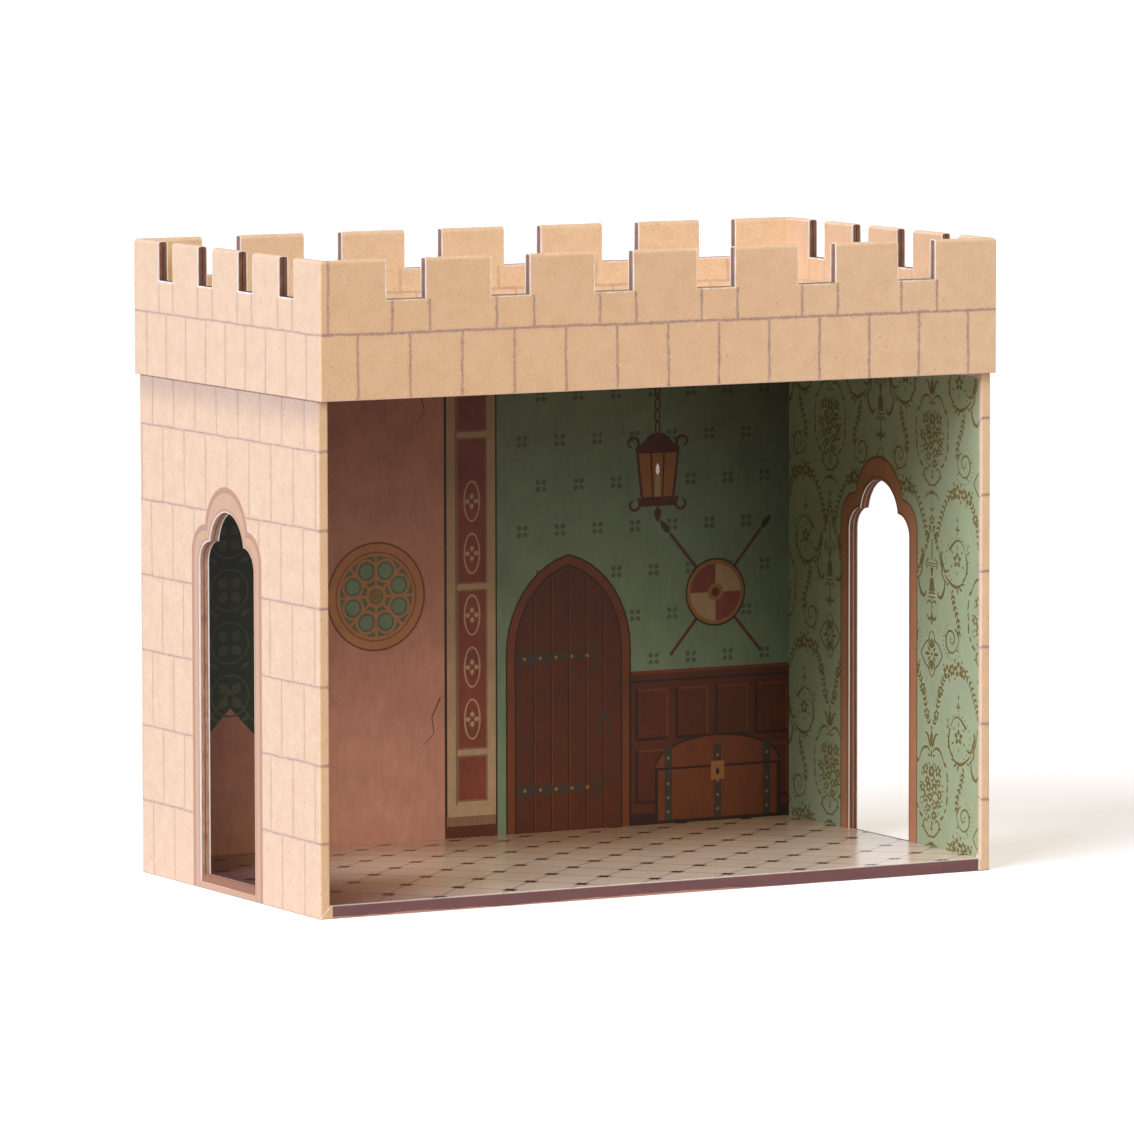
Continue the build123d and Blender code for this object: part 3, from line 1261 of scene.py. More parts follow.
@dataclass(frozen=True)
class Damask:
    """Wallpaper pattern of medallions, garland arches and scrolls, in a half-drop repeat.

    Its places are measured from the middle of a column and up from a medallion's foot.
    """

    repeat_width: float = 85.3
    repeat_height: float = 147.2
    columns: int = 4
    rows: int = 4

    def motif(self) -> Pen:
        """Draw one repeat.

        Returns:
            What is drawn.
        """
        pen = Pen()
        for draw in (self.medallion, self.arch, self.scroll, self.tail, self.lozenge, self.pendant):
            draw(pen)
        pen.mirror()
        self.bouquet(pen)
        self.spine(pen)
        return pen

    def curves(self, pen: Pen, *curves: Tuple[Sequence[Point], Triple]) -> None:
        """Draw soft lines, each given by its points and its widths at its start, middle and end."""
        for path, widths in curves:
            pen.stroke(Ink.OLIVE, smooth(path), *widths)

    def leaves(self, pen: Pen, *leaves: Tuple[float, float, float, float]) -> None:
        """Draw leaves, each given by its foot, the way that it points and its length."""
        for x, y, turn, length in leaves:
            pen.leaf(Ink.OLIVE, (x, y), turn, length, 0.44 * length)

    def flowers(self, pen: Pen, *flowers: Triple) -> None:
        """Draw flowers, each given by its middle and radius."""
        for k, (x, y, radius) in enumerate(flowers):
            pen.flower(Ink.OLIVE, (x, y), radius, 5 + k % 2, 90 + 37 * k)

    def medallion(self, pen: Pen) -> None:
        """Draw one side of the broken oval with its curled top and foot, and the tulip over it.

        Args:
            pen: Draws it.
        """
        self.curves(
            pen,
            (((1.3, 41), (2.5, 42.2), (4.5, 42.7), (6.6, 42), (8.4, 40.2), (9.8, 37.6)), (0.5, 1.2, 0.5)),
            (((12.5, 33.5), (12.9, 31.8), (12.8, 30)), (0.5, 1.0, 0.5)),
            (((12.9, 28.5), (13.1, 27), (12.9, 25.5)), (0.5, 1.0, 0.5)),
            (((12.8, 24), (12.7, 21.8), (12.3, 19.5)), (0.6, 1.3, 0.6)),
            (((11.8, 18.4), (11.3, 17.2), (10.6, 16.2)), (0.5, 1.1, 0.5)),
            (((9.8, 15), (8.6, 13.9), (7.2, 13)), (0.6, 1.4, 0.7)),
            (
                ((3.2, 11.2), (4.4, 12.2), (6, 11.6), (6.5, 9.6), (5.4, 7.6), (3.6, 6.4), (2.6, 5.6)),
                (0.7, 0.9, 0.9),
            ),
            (((1.2, 1.9), (3.2, 1.6), (4.8, 0.6), (5.6, -0.7)), (0.5, 0.9, 0.4)),
            (((1.0, 44), (2.2, 46.2), (3.4, 48.2), (5.4, 48.8)), (0.9, 1.4, 0.4)),
        )
        self.leaves(pen, (9.8, 37.6, -40, 3.7), (12.9, 29, 60, 2.0), (13.0, 24.6, 120, 2.0), (0.9, 39, 20, 2.4))
        self.leaves(pen, (0.4, 42.6, 64, 4.6), (6.4, 9.4, -20, 2.2), (3.4, 12.4, 130, 2.0))

    def arch(self, pen: Pen) -> None:
        """Draw the garland from the tulip up and over to the next column, with roses at its top.

        Args:
            pen: Draws it.
        """
        leafy = (
            (1.8, 52.4, 70), (2.8, 54.2, 66), (4.6, 59.6, 74), (5.2, 61.8, 72), (5.8, 64, 70), (6.6, 65.4, 68),
            (8.2, 69.6, 62), (9.2, 71.4, 52), (10.6, 73, 46), (28.4, 74.6, -20), (30.4, 72.8, -30), (32, 70.8, -42),
            (33.4, 68.6, -50), (34.6, 66.4, -56), (35.8, 64.2, -60), (36.8, 62, -64), (37.8, 59.8, -68),
        )
        for x, y, way in leafy:
            self.leaves(pen, (x, y, way + 38, 2.8), (x, y, way - 42, 2.6), (x, y, way, 1.6))
        self.flowers(pen, (4, 57, 2.3), (7.4, 67.2, 2.5), (12.6, 75.6, 3.2), (16.6, 76.8, 2.8), (22, 77.4, 3.6),
                     (26.2, 76, 2.6), (39.4, 57.6, 2.0))
        self.leaves(pen, (19.2, 79.4, 100, 2.4), (24.2, 79.6, 60, 2.4), (10.6, 77.2, 130, 2.2), (14.4, 73.4, -80, 2.2),
                    (19.4, 74.4, -100, 2.2), (28.0, 77.0, 20, 2.2))
        self.leaves(pen, (21.8, 61, 90, 3.0), (21.6, 61, 140, 2.2), (22.0, 61, 40, 2.2), (22, 64.6, 90, 2.6),
                    (21.9, 59.4, 90, 1.6))

    def scroll(self, pen: Pen) -> None:
        """Draw the large scroll under the arch, with its rosette, beads and leafy stem.

        Args:
            pen: Draws it.
        """
        self.curves(
            pen,
            (((16.4, 41.2), (14.6, 44), (14, 48), (15.2, 52.6)), (0.5, 1.2, 0.9)),
            (((15.4, 53), (18, 56.4), (21.4, 57.5), (24.8, 56), (28.4, 53)), (0.5, 0.8, 1.5)),
            (((32.1, 42.4), (28, 39.6), (24, 38), (20.5, 38.4), (17.6, 39.8)), (0.5, 1.6, 0.6)),
            (((33.6, 45.2), (32.2, 44.4), (30.4, 43.6), (28.2, 44.8)), (0.4, 1.0, 0.5)),
            (((32.1, 40.4), (32.4, 36.6), (34.2, 33.2), (36.6, 32.4), (37.8, 34.4)), (0.5, 1.7, 0.8)),
            (((33.8, 46.6), (34.6, 43.4), (33.2, 40.8), (30.4, 38.9)), (0.5, 1.0, 0.5)),
            (((35.2, 52.4), (35.4, 49.4), (34.4, 46.8)), (0.4, 0.8, 0.5)),
        )
        self.leaves(pen, (14, 52.2, 150, 2.4), (13.8, 54.4, 120, 2.4), (14.2, 48, 140, 2.2), (14.8, 44, 160, 2.2),
                    (22.4, 37.6, -120, 3.0), (20.6, 38, -150, 3.2), (25.2, 37.0, -60, 3.0), (28.6, 39.2, -30, 2.6),
                    (17.6, 39.8, 120, 3.2), (18.6, 39.4, 180, 2.6), (33.6, 45.4, 60, 3.0), (35.0, 50, 120, 2.4))
        self.flowers(pen, (22, 49.2, 3.4))
        self.leaves(pen, (22, 53.4, 90, 2.2), (18.4, 47.0, 210, 2.2), (25.6, 47.0, -30, 2.2), (19.0, 51.8, 140, 2.2),
                    (25.2, 51.6, 40, 2.2), (22, 44.8, -90, 2.0))
        pen.beads(Ink.OLIVE, arc((21.8, 49), 9.4, 9.6, -60, 150, 13), 0.42)

    def tail(self, pen: Pen) -> None:
        """Draw the chain of leaves that hangs from the stem and the small beaded scroll at its end.

        Args:
            pen: Draws it.
        """
        chain = ((25.4, 34.6), (25.2, 32.4), (24.4, 30), (23.2, 27.6), (21.6, 25), (20.8, 22.6), (20.4, 20), (20.6, 18))
        pen.garland(Ink.OLIVE, chain, 2.8, 1.25)
        pen.stroke(Ink.OLIVE, smooth(chain, 2), 0.4, 0.5, 0.4)
        self.curves(
            pen,
            (
                ((20.6, 18.4), (20.8, 15), (22.8, 11.8), (26.4, 10.2), (29.8, 11.8), (31, 15.2), (29.6, 18.6),
                 (26.8, 19.4), (24.4, 17.8), (24.2, 15.4), (26, 14), (27.6, 15)), (0.4, 1.1, 0.5),
            ),
            (((20.7, 17), (22.2, 19.4), (24.2, 20.4)), (0.9, 0.9, 0.4)),
        )
        self.leaves(pen, (27.6, 15.2, 110, 2.0), (31.0, 16.4, 40, 2.0), (28.2, 10.4, -40, 2.2), (22.2, 12.2, 220, 2.2))
        pen.beads(Ink.OLIVE, arc((25.8, 15), 7.6, 7.6, -130, 70, 14), 0.4)

    def lozenge(self, pen: Pen) -> None:
        """Draw one side of the curled lozenge and of the leaves in it.

        Args:
            pen: Draws it.
        """
        self.curves(
            pen,
            (((0, 91.6), (1.9, 90), (2.6, 87.6), (4.6, 86.6), (6.4, 85), (8.8, 81.9)), (0.5, 0.8, 0.7)),
            (((8.8, 81.9), (6.4, 78.8), (4.6, 77.2), (2.6, 76), (1.8, 74), (0, 72.2)), (0.7, 0.8, 0.5)),
            (((0.8, 84.6), (2.2, 86.0), (1.6, 88.4)), (0.5, 0.9, 0.4)),
            (((0.8, 79.2), (2.2, 77.8), (1.6, 75.4)), (0.5, 0.9, 0.4)),
        )
        self.leaves(pen, (0.4, 84.0, 80, 4.0), (0.4, 79.8, -80, 4.0), (1.4, 81.9, 0, 4.2), (1.0, 82.8, 42, 3.2),
                    (1.0, 81.0, -42, 3.2))

    def pendant(self, pen: Pen) -> None:
        """Draw one side of the hanging drop, from its fleur up to the ribbons of the next foot.

        Args:
            pen: Draws it.
        """
        self.curves(
            pen,
            (((0.8, 97.2), (2.4, 96.4), (3.8, 98.4)), (0.9, 1.3, 0.4)),
            (((0.6, 103.2), (2.2, 104.2), (3.8, 103.0)), (0.6, 0.9, 0.8)),
            (((2.4, 121.6), (3.9, 120.9), (4.4, 119.2), (3.4, 117.6)), (0.6, 0.9, 0.6)),
            (((0.5, 121), (0.4, 125), (0.2, 130)), (0.4, 0.4, 0.4)),
            (((1.4, 133.6), (3.1, 131), (4.2, 127.4), (6.2, 124.4)), (0.5, 0.6, 0.5)),
            (((6, 124.4), (7.2, 120.2), (9.4, 117)), (0.4, 0.9, 0.5)),
            (((7, 124.8), (8.8, 121), (10.8, 116.4)), (0.4, 1.1, 0.6)),
        )
        pen.garland(Ink.OLIVE, ((1.0, 134.6), (2.2, 132.4), (3.3, 129.9), (4.1, 127.4), (5.2, 125.2)), 2.2, 0.9)
        self.leaves(pen, (0.4, 134.6, 20, 3.0), (0.4, 141.6, 50, 2.2), (0.6, 108.2, 30, 2.4))

    def bouquet(self, pen: Pen) -> None:
        """Draw the flowers in the medallion, with small leaves between them.

        Args:
            pen: Draws it.
        """
        self.flowers(
            pen, (-5, 33.2, 2.6), (0.2, 32.8, 2.8), (5.4, 33.2, 2.6), (-3.2, 28.6, 2.2), (2.2, 28.4, 2.6),
            (5.8, 28.2, 2.0), (-7.2, 25.5, 2.4), (-2.2, 26, 2.4), (2.4, 25.2, 2.6), (6.6, 23.4, 2.4),
            (-5, 21.2, 2.4), (-1, 21.8, 2.2), (2.4, 18.8, 2.4), (5.6, 19.4, 2.0), (-3, 17.2, 2.2), (2, 14.4, 2.2),
        )
        for k in range(22):
            turn = math.tau * k / 22
            spot = (8.4 * math.cos(turn), 24.6 + 10.6 * math.sin(turn))
            self.leaves(pen, (*spot, math.degrees(turn) + 30 * (-1) ** k, 2.0))
        self.leaves(pen, (-1.4, 30.4, 100, 2.4), (4.0, 30.6, 80, 2.4), (-4.6, 24, 200, 2.2), (0.2, 23.6, -60, 2.2),
                    (4.6, 21.2, -20, 2.2), (-0.4, 18.6, 250, 2.2), (0.6, 12.2, -95, 3.0), (-1.8, 14.4, -120, 2.6))

    def spine(self, pen: Pen) -> None:
        """Draw what stands in the middle of the column, from the foot up.

        Args:
            pen: Draws it.
        """
        for half, low, high in ((2.0, 1.4, 3.0), (3.2, 4.9, 5.7), (2.8, 105.4, 106.0), (2.6, 107.0, 107.8),
                                (3.4, 118.6, 119.0), (3.4, 119.6, 120.0)):
            pen.box(Ink.OLIVE, -half, low, half, high)
        self.leaves(pen, (0, 38.4, 90, 3.4), (0, 43.4, 90, 6.8), (0, 84.6, 90, 4.4), (0, 79.4, -90, 4.8),
                    (0, 99.4, -90, 5.6), (0, 97.0, 90, 3.2))
        pen.disc(Ink.OLIVE, (0, 8.6), 0.8, sides=8)
        pen.disc(Ink.OLIVE, (0, 51), 0.6, 1.0, 8)
        pen.disc(Ink.OLIVE, (0, 81.9), 0.8, sides=8)
        pen.stroke(Ink.OLIVE, ((0, 99.4), (0, 105.4)), 0.7, 0.7, 0.7)
        pen.fill(Ink.OLIVE, ((-2.0, 108), (2.0, 108), (1.7, 112), (1.0, 113.8), (-1.0, 113.8), (-1.7, 112)))
        pen.fill(Ink.OLIVE, ((-0.5, 114.4), (0.5, 114.4), (1.3, 118.2), (-1.3, 118.2)))
        self.flowers(pen, (0, 138, 2.3))
        pen.beads(Ink.OLIVE, [(0, 141.4 + 1.1 * k) for k in range(6)], 0.42)

    def tree(self) -> bpy.types.NodeTree:
        """Make the Geometry Nodes tree that repeats the motif in a half-drop.

        Returns:
            The tree, with inputs for its counts, repeat and ink.
        """
        tree = bpy.data.node_groups.new("half_drop_repeat", "GeometryNodeTree")
        sockets = {
            "Motif": "Object", "Columns": "Int", "Rows": "Int", "Repeat Width": "Float", "Repeat Height": "Float",
            "Ink": "Material",
        }
        for name, kind in sockets.items():
            tree.interface.new_socket(name=name, in_out="INPUT", socket_type=f"NodeSocket{kind}")
        tree.interface.new_socket(name="Print", in_out="OUTPUT", socket_type="NodeSocketGeometry")
        given = add_node(tree, "NodeGroupInput").outputs

        def span(count: str, repeat: str) -> bpy.types.NodeSocket:
            """Distance from the first repeat to the last, one way."""
            less = add_node(tree, "ShaderNodeMath", {0: given[count], 1: 1.0}, operation="SUBTRACT")
            times = add_node(tree, "ShaderNodeMath", {0: less.outputs[0], 1: given[repeat]}, operation="MULTIPLY")
            return times.outputs[0]

        grid = add_node(tree, "GeometryNodeMeshGrid", {
            "Size X": span("Columns", "Repeat Width"), "Size Y": span("Rows", "Repeat Height"),
            "Vertices X": given["Columns"], "Vertices Y": given["Rows"],
        }).outputs["Mesh"]
        both = add_node(tree, "ShaderNodeCombineXYZ", {0: given["Repeat Width"], 1: given["Repeat Height"]})
        half = add_node(tree, "ShaderNodeVectorMath", {0: both.outputs[0], "Scale": 0.5}, operation="SCALE")
        drop = add_node(tree, "GeometryNodeTransform", {"Geometry": grid, "Translation": half.outputs[0]})
        joined = add_node(tree, "GeometryNodeJoinGeometry")
        for part in (grid, drop.outputs[0]):
            tree.links.new(part, joined.inputs[0])
        motif = add_node(tree, "GeometryNodeObjectInfo", {"Object": given["Motif"]})
        spread = add_node(tree, "GeometryNodeInstanceOnPoints", {
            "Points": joined.outputs[0], "Instance": motif.outputs["Geometry"],
        })
        real = add_node(tree, "GeometryNodeRealizeInstances", {0: spread.outputs[0]})
        inked = add_node(tree, "GeometryNodeSetMaterial", {"Geometry": real.outputs[0], "Material": given["Ink"]})
        add_node(tree, "NodeGroupOutput", {0: inked.outputs[0]})
        return tree

    def repeat(self, first: Point, reach: Tuple[float, float, float, float]) -> Shapes:
        """Repeat the motif over a sheet.

        Args:
            first: Where one medallion has its middle on the sheet.
            reach: Left, foot, right and top of the sheet.

        Returns:
            Every shape that meets the sheet.
        """
        shapes = self.motif().shapes
        mesh = bpy.data.meshes.new("damask_motif")
        points = [(x * MM, y * MM, 0.0) for shape, _ in shapes for x, y in shape]
        mesh.from_pydata(points, [], corner_numbers(shapes))
        motif = bpy.data.objects.new("damask_motif", mesh)
        host = bpy.data.objects.new("damask_repeat", bpy.data.meshes.new("damask_repeat"))
        scene = bpy.context.scene.collection.objects
        scene.link(motif)
        scene.link(host)
        tree = self.tree()
        modifier = host.modifiers.new("half_drop", "NODES")
        modifier.node_group = tree
        sockets = {item.name: item.identifier for item in tree.interface.items_tree if item.in_out == "INPUT"}
        inked = bpy.data.materials.new("damask_ink")
        for name, value in (
            ("Motif", motif), ("Columns", self.columns), ("Rows", self.rows),
            ("Repeat Width", self.repeat_width * MM), ("Repeat Height", self.repeat_height * MM), ("Ink", inked),
        ):
            modifier[sockets[name]] = value
        bpy.context.view_layer.update()
        made = bpy.data.meshes.new_from_object(host.evaluated_get(bpy.context.evaluated_depsgraph_get()))
        host.modifiers.clear()
        shift = (
            first[0] + (self.columns - 1) * self.repeat_width / 2 - self.repeat_width * (self.columns // 2),
            first[1] + (self.rows - 1) * self.repeat_height / 2 - self.repeat_height * (self.rows // 2),
        )
        left, foot, right, top = reach
        kept = []
        for polygon in made.polygons:
            corners = [made.vertices[v].co for v in polygon.vertices]
            shape = [(corner.x / MM + shift[0], corner.y / MM + shift[1]) for corner in corners]
            xs, ys = [p[0] for p in shape], [p[1] for p in shape]
            if max(xs) > left and min(xs) < right and max(ys) > foot and min(ys) < top:
                kept.append((shape, Ink.OLIVE))
        for unused in (host, motif):
            bpy.data.objects.remove(unused)
        bpy.data.meshes.remove(made)
        bpy.data.materials.remove(inked)
        LOG.info("wallpaper repeat has %d shapes", len(kept))
        return kept


@dataclass(frozen=True)
class SideLining:
    """Wallpaper of one side wall, with its doorway's printed surround, in the wall's own plane."""

    back: float = 78.4
    length: float = 158.9
    height: float = 199.0
    foot: float = 5.4
    corner: float = 3.0
    face: float = 150.0
    band: float = 7.0
    stripe: float = 0.8
    line: Point = (1.2, 0.7)
    overrun: float = 3.0
    shades: Tuple[Shade, ...] = (
        Shade("y", -10.0, 125.0, (0.50, 0.53, 0.47, 1.0), 0.5), Shade("z", 150.0, 205.0, (1.08, 1.09, 1.14, 1.0)),
    )

    def outline(self, front_first: bool) -> List[Point]:
        """Outline of the sheet, with the two corners at the open front rounded.

        Args:
            front_first: Whether the sheet is measured from the front, not from the back.

        Returns:
            Its corners.
        """
        r, w, h = self.corner, self.length, self.height
        points = [(0.0, 0.0)] + arc((w - r, r), r, r, -90, 0, 6) + arc((w - r, h - r), r, r, 0, 90, 6) + [(0.0, h)]
        return anticlockwise([(w - x, y) for x, y in points] if front_first else points)

    def doorway(self, grow: float, front_first: bool) -> List[Point]:
        """Outline of the doorway on the sheet, grown outwards and run on below the sheet.

        Args:
            grow: How far it is grown.
            front_first: Whether the sheet is measured from the front, not from the back.

        Returns:
            Its corners.
        """
        door = DOORWAY.grown(grow)
        meet = math.degrees(math.asin(min((door.spring + door.shoulder - door.lobe_height) / door.lobe, 1.0)))
        right = [(door.half, -self.overrun)]
        right += arc((door.half - door.shoulder, door.spring), door.shoulder, door.shoulder, 0, 90, 10)
        right += arc((0.0, door.lobe_height), door.lobe, door.lobe, meet, 90, 12)
        whole = right + [(-x, z) for x, z in reversed(right[:-1])]
        placed = [(self.back - (door.middle + x), z - self.foot) for x, z in whole]
        return anticlockwise([(self.length - x, z) for x, z in placed] if front_first else placed)

    def build(self, side: int, shapes: Shapes, ground: Ink) -> bpy.types.Object:
        """Build the sheet of one side.

        Args:
            side: 1 for the right wall and -1 for the left.
            shapes: What is printed on it below the surround.
            ground: Its ground colour.

        Returns:
            The sheet.
        """
        front_first = side < 0
        origin = (side * self.face, self.back - (self.length if front_first else 0.0), self.foot)
        word = "right" if side > 0 else "left"
        band = [
            (self.doorway(grow, front_first), Ink.SURROUND if part % 2 else Ink.SURROUND_LINE)
            for part, grow in enumerate((self.band, self.band - self.stripe, *self.line))
        ]
        sheet = PrintedSheet(
            f"{word}_wallpaper_print", f"{word}_wallpaper", Slot.WALL, origin,
            (0.0, 1.0 if front_first else -1.0, 0.0), self.outline(front_first), self.doorway(0.0, front_first),
            self.shades,
        )
        return sheet.build(ground, shapes + band)


@dataclass(frozen=True)
class HallPicture:
    """Printed hall on the back wall: plaster, a painted column, a green wall, a door and a chest."""

    origin: Triple = (-150.0, 78.1, 5.4)
    width: float = 300.0
    height: float = 199.0
    plaster_end: float = 134.0
    column_end: float = 159.0
    door_middle: float = 193.0
    door_half: float = 25.0
    wainscot_start: float = 222.0
    wainscot_top: float = 66.0
    shades: Tuple[Shade, ...] = (
        Shade("x", 70.0, 150.0, (0.6, 0.6, 0.56, 1.0)), Shade("z", 0.0, 150.0, (0.62, 0.55, 0.44, 1.0)),
        Shade("x", -60.0, -142.0, (0.42, 0.36, 0.41, 1.0)), Shade("z", 130.0, 195.0, (0.70, 0.62, 0.50, 1.0)),
    )

    def draw(self) -> Shapes:
        """Draw the picture from the bottom up.

        Returns:
            Its shapes.
        """
        pen = Pen()
        pen.box(Ink.HALL_GREEN, self.column_end, 0.0, self.width, self.height)
        self.draw_plaster(pen)
        self.draw_banner(pen)
        self.draw_window(pen, (102.0, 104.0), 21.0)
        self.draw_column(pen)
        self.draw_diaper(pen)
        self.draw_door(pen)
        self.draw_wainscot(pen)
        self.draw_chest(pen)
        self.draw_shield(pen, (264.0, 98.0))
        self.draw_lantern(pen, (236.0, 150.0))
        return pen.shapes

    def draw_plaster(self, pen: Pen) -> None:
        """Draw a few cracks in the plaster wall.

        Args:
            pen: Draws it.
        """
        cracks = (
            ((126, 196), (123, 188), (125, 181), (121, 175)), ((76, 200), (80, 191), (78, 184)),
            ((132, 60), (128, 52), (129, 45), (124, 40)), ((60, 30), (66, 34), (70, 31), (77, 35)),
        )
        for crack in cracks:
            pen.stroke(Ink.PLASTER_DARK, crack, 0.8, 0.6, 0.2)

    def draw_banner(self, pen: Pen) -> None:
        """Draw the long green banner with its swallow tail and pole.

        Args:
            pen: Draws it.
        """
        left, right, top, foot = 18.0, 50.0, 150.0, 44.0
        middle = (left + right) / 2
        pen.fill(Ink.LEAF, [(left, top), (left, foot), (middle, foot + 17), (right, foot), (right, top)])
        for tone, inset, drop in ((Ink.HALL_SHADE, 3, 8), (Ink.LEAF, 4, 10)):
            near, far, low, high = left + inset, right - inset, foot + drop, top - inset - 1
            pen.fill(tone, [(near, high), (near, low), (middle, low + 15), (far, low), (far, high)])
        for rise in range(4):
            y = top - 18 - 22 * rise
            pen.flower(Ink.HALL_SHADE, (middle, y), 7.0, 4, 45)
            pen.ring(Ink.HALL_SHADE, (middle, y), 8.6, 8.6, 0.8)
            for side in (-1, 1):
                pen.leaf(Ink.HALL_SHADE, (middle + side * 5, y - 11), 90 - side * 55, 5.5, 2.2)
        pen.box(Ink.OAK, left - 5, top, right + 5, top + 2.4)
        for x in (left - 6, right + 6):
            pen.disc(Ink.BRASS, (x, top + 1.2), 2.4)

    def draw_window(self, pen: Pen, middle: Point, radius: float) -> None:
        """Draw a round window of leaded petals in a moulded frame.

        Args:
            pen: Draws it.
            middle: Its middle.
            radius: Its radius inside the frame.
        """
        pen.disc(Ink.PLASTER_DARK, middle, radius + 2.0, sides=40)
        pen.disc(Ink.SURROUND, middle, radius + 1.2, sides=40)
        pen.ring(Ink.SURROUND_LINE, middle, radius - 2.4, radius - 2.4, 0.7, 36)
        pen.disc(Ink.GLASS, middle, radius - 4.0, sides=36)
        for tip in arc(middle, 11.6, 11.6, 22.5, 337.5, 7):
            pen.ring(Ink.SURROUND, tip, 4.6, 4.6, 1.1, 16)
            pen.disc(Ink.HALL_GREEN, tip, 3.0, sides=14)
        rings = (arc(middle, reach, reach, 0, 315, 7) for reach in (4.0, radius - 3.8))
        for bar in zip(*rings):
            pen.stroke(Ink.SURROUND, bar, 1.2, 1.2, 1.2)
        pen.disc(Ink.SURROUND, middle, 4.8)
        pen.disc(Ink.GLASS, middle, 3.4)
        pen.flower(Ink.BRASS, middle, 3.0, 6)

    def draw_column(self, pen: Pen) -> None:
        """Draw the cream pilaster with its long crimson panels, base and capital.

        Args:
            pen: Draws it.
        """
        left, right = self.plaster_end, self.column_end
        pen.box(Ink.OAK_DARK, left, 0.0, right, self.height)
        pen.box(Ink.CREAM, left + 1.2, 0.0, right - 0.8, self.height)
        pen.box(Ink.CREAM_SHADE, left + 5.2, 14.0, left + 6.0, 186.0)
        middle = (left + right) / 2 + 0.6
        for low, high in ((16.0, 34.0), (38.0, 104.0), (108.0, 168.0), (172.0, 186.0)):
            pen.box(Ink.CREAM_SHADE, middle - 7.2, low - 0.8, middle + 7.2, high + 0.8)
            pen.box(Ink.CRIMSON, middle - 6.4, low, middle + 6.4, high)
            for rise in range(int((high - low) / 22)):
                pen.ring(Ink.CREAM, (middle, low + 12 + 22 * rise), 3.6, 8.4, 0.8, 18)
                pen.flower(Ink.CREAM, (middle, low + 12 + 22 * rise), 3.4, 4)
        for low, high, grow, tone in (
            (0.0, 5.0, 0.0, Ink.OAK), (5.0, 9.0, 0.8, Ink.CREAM_SHADE), (9.0, 12.6, 1.6, Ink.CREAM),
            (188.0, 191.0, 1.6, Ink.CREAM_SHADE), (191.0, 196.0, 0.8, Ink.CREAM), (196.0, 200.0, 0.0, Ink.CREAM_SHADE),
        ):
            pen.box(tone, left + grow, low, right - grow, high)

    def draw_diaper(self, pen: Pen) -> None:
        """Draw small crossed leaves over the green wall, in rows that break joint.

        Args:
            pen: Draws it.
        """
        for row in range(10):
            for column in range(8):
                x = self.column_end + 12 + 18 * column + 9 * (row % 2)
                y = 14 + 19 * row
                if x < self.width - 4:
                    pen.flower(Ink.HALL_SHADE, (x, y), 3.4, 4, 45)

    def draw_door(self, pen: Pen) -> None:
        """Draw the arched plank door with strap hinges, nails and a ring.

        Args:
            pen: Draws it.
        """
        x, half = self.door_middle, self.door_half
        spring = 76.0
        for grow, tone in ((5.0, Ink.OAK_DARK), (4.2, Ink.OAK_LIGHT), (0.8, Ink.OAK_DARK), (0.0, Ink.OAK)):
            reach = half + grow
            outline = [(x + reach, 0.0)]
            outline += arc((x - 0.3 * half, spring), 1.3 * half + grow, 1.5 * half + grow, 0, 76, 10)
            outline = [p for p in outline if p[0] > x] + [(x, spring + 1.456 * half + 1.03 * grow)]
            pen.fill(tone, outline + [(2 * x - p[0], p[1]) for p in reversed(outline[:-1])])
        for k in range(1, 6):
            left = x - half + k * half / 3
            top = spring + 36 * math.sqrt(max(0.0, 1 - ((abs(left - x) + 0.3 * half) / (1.3 * half)) ** 2))
            pen.box(Ink.OAK_DARK, left - 0.35, 0.0, left + 0.35, top)
            pen.box(Ink.OAK_LIGHT, left + 0.35, 0.0, left + 0.8, top)
        for rise in (18.0, 74.0):
            pen.stroke(Ink.IRON, [(x - half, rise), (x - 4, rise), (x + 14, rise)], 4.6, 3.2, 1.0)
            for side in (-1, 1):
                curl = (x + 13, rise + side * 2.6)
                pen.scroll(Ink.IRON, curl, (2.6, 1.4), (-90 * side, 190 * side), (1.2, 1.0, 0.8), 8)
            for k in range(5):
                pen.disc(Ink.BRASS, (x - half + 4 + 7.5 * k, rise), 0.8, 0.8, 8)
        pen.ring(Ink.IRON, (x + 17, 44.0), 3.4, 4.2, 1.1, 16)
        pen.disc(Ink.IRON, (x + 17, 48.4), 2.0)

    def draw_wainscot(self, pen: Pen) -> None:
        """Draw the dark panelling on the right, with a rail and two rows of panels.

        Args:
            pen: Draws it.
        """
        left, top = self.wainscot_start, self.wainscot_top
        pen.box(Ink.OAK, left, 0.0, self.width, top)
        rails = ((top - 5, top - 4, Ink.OAK_DARK), (top - 1.4, top, Ink.OAK_LIGHT), (0, 5, Ink.OAK_DARK))
        for low, high, tone in rails:
            pen.box(tone, left, low, self.width, high)
        for k in range(4):
            x = left + 3 + 19.4 * k
            for low, high in ((9.0, 32.0), (36.0, 58.0)):
                pen.box(Ink.OAK_DARK, x, low, x + 16, high)
                pen.box(Ink.OAK_LIGHT, x + 1.4, low + 1.4, x + 16, high)
                pen.box(Ink.OAK, x + 1.4, low + 1.4, x + 15.2, high - 0.8)
        pen.box(Ink.OAK_DARK, left, 0.0, left + 1.2, top)

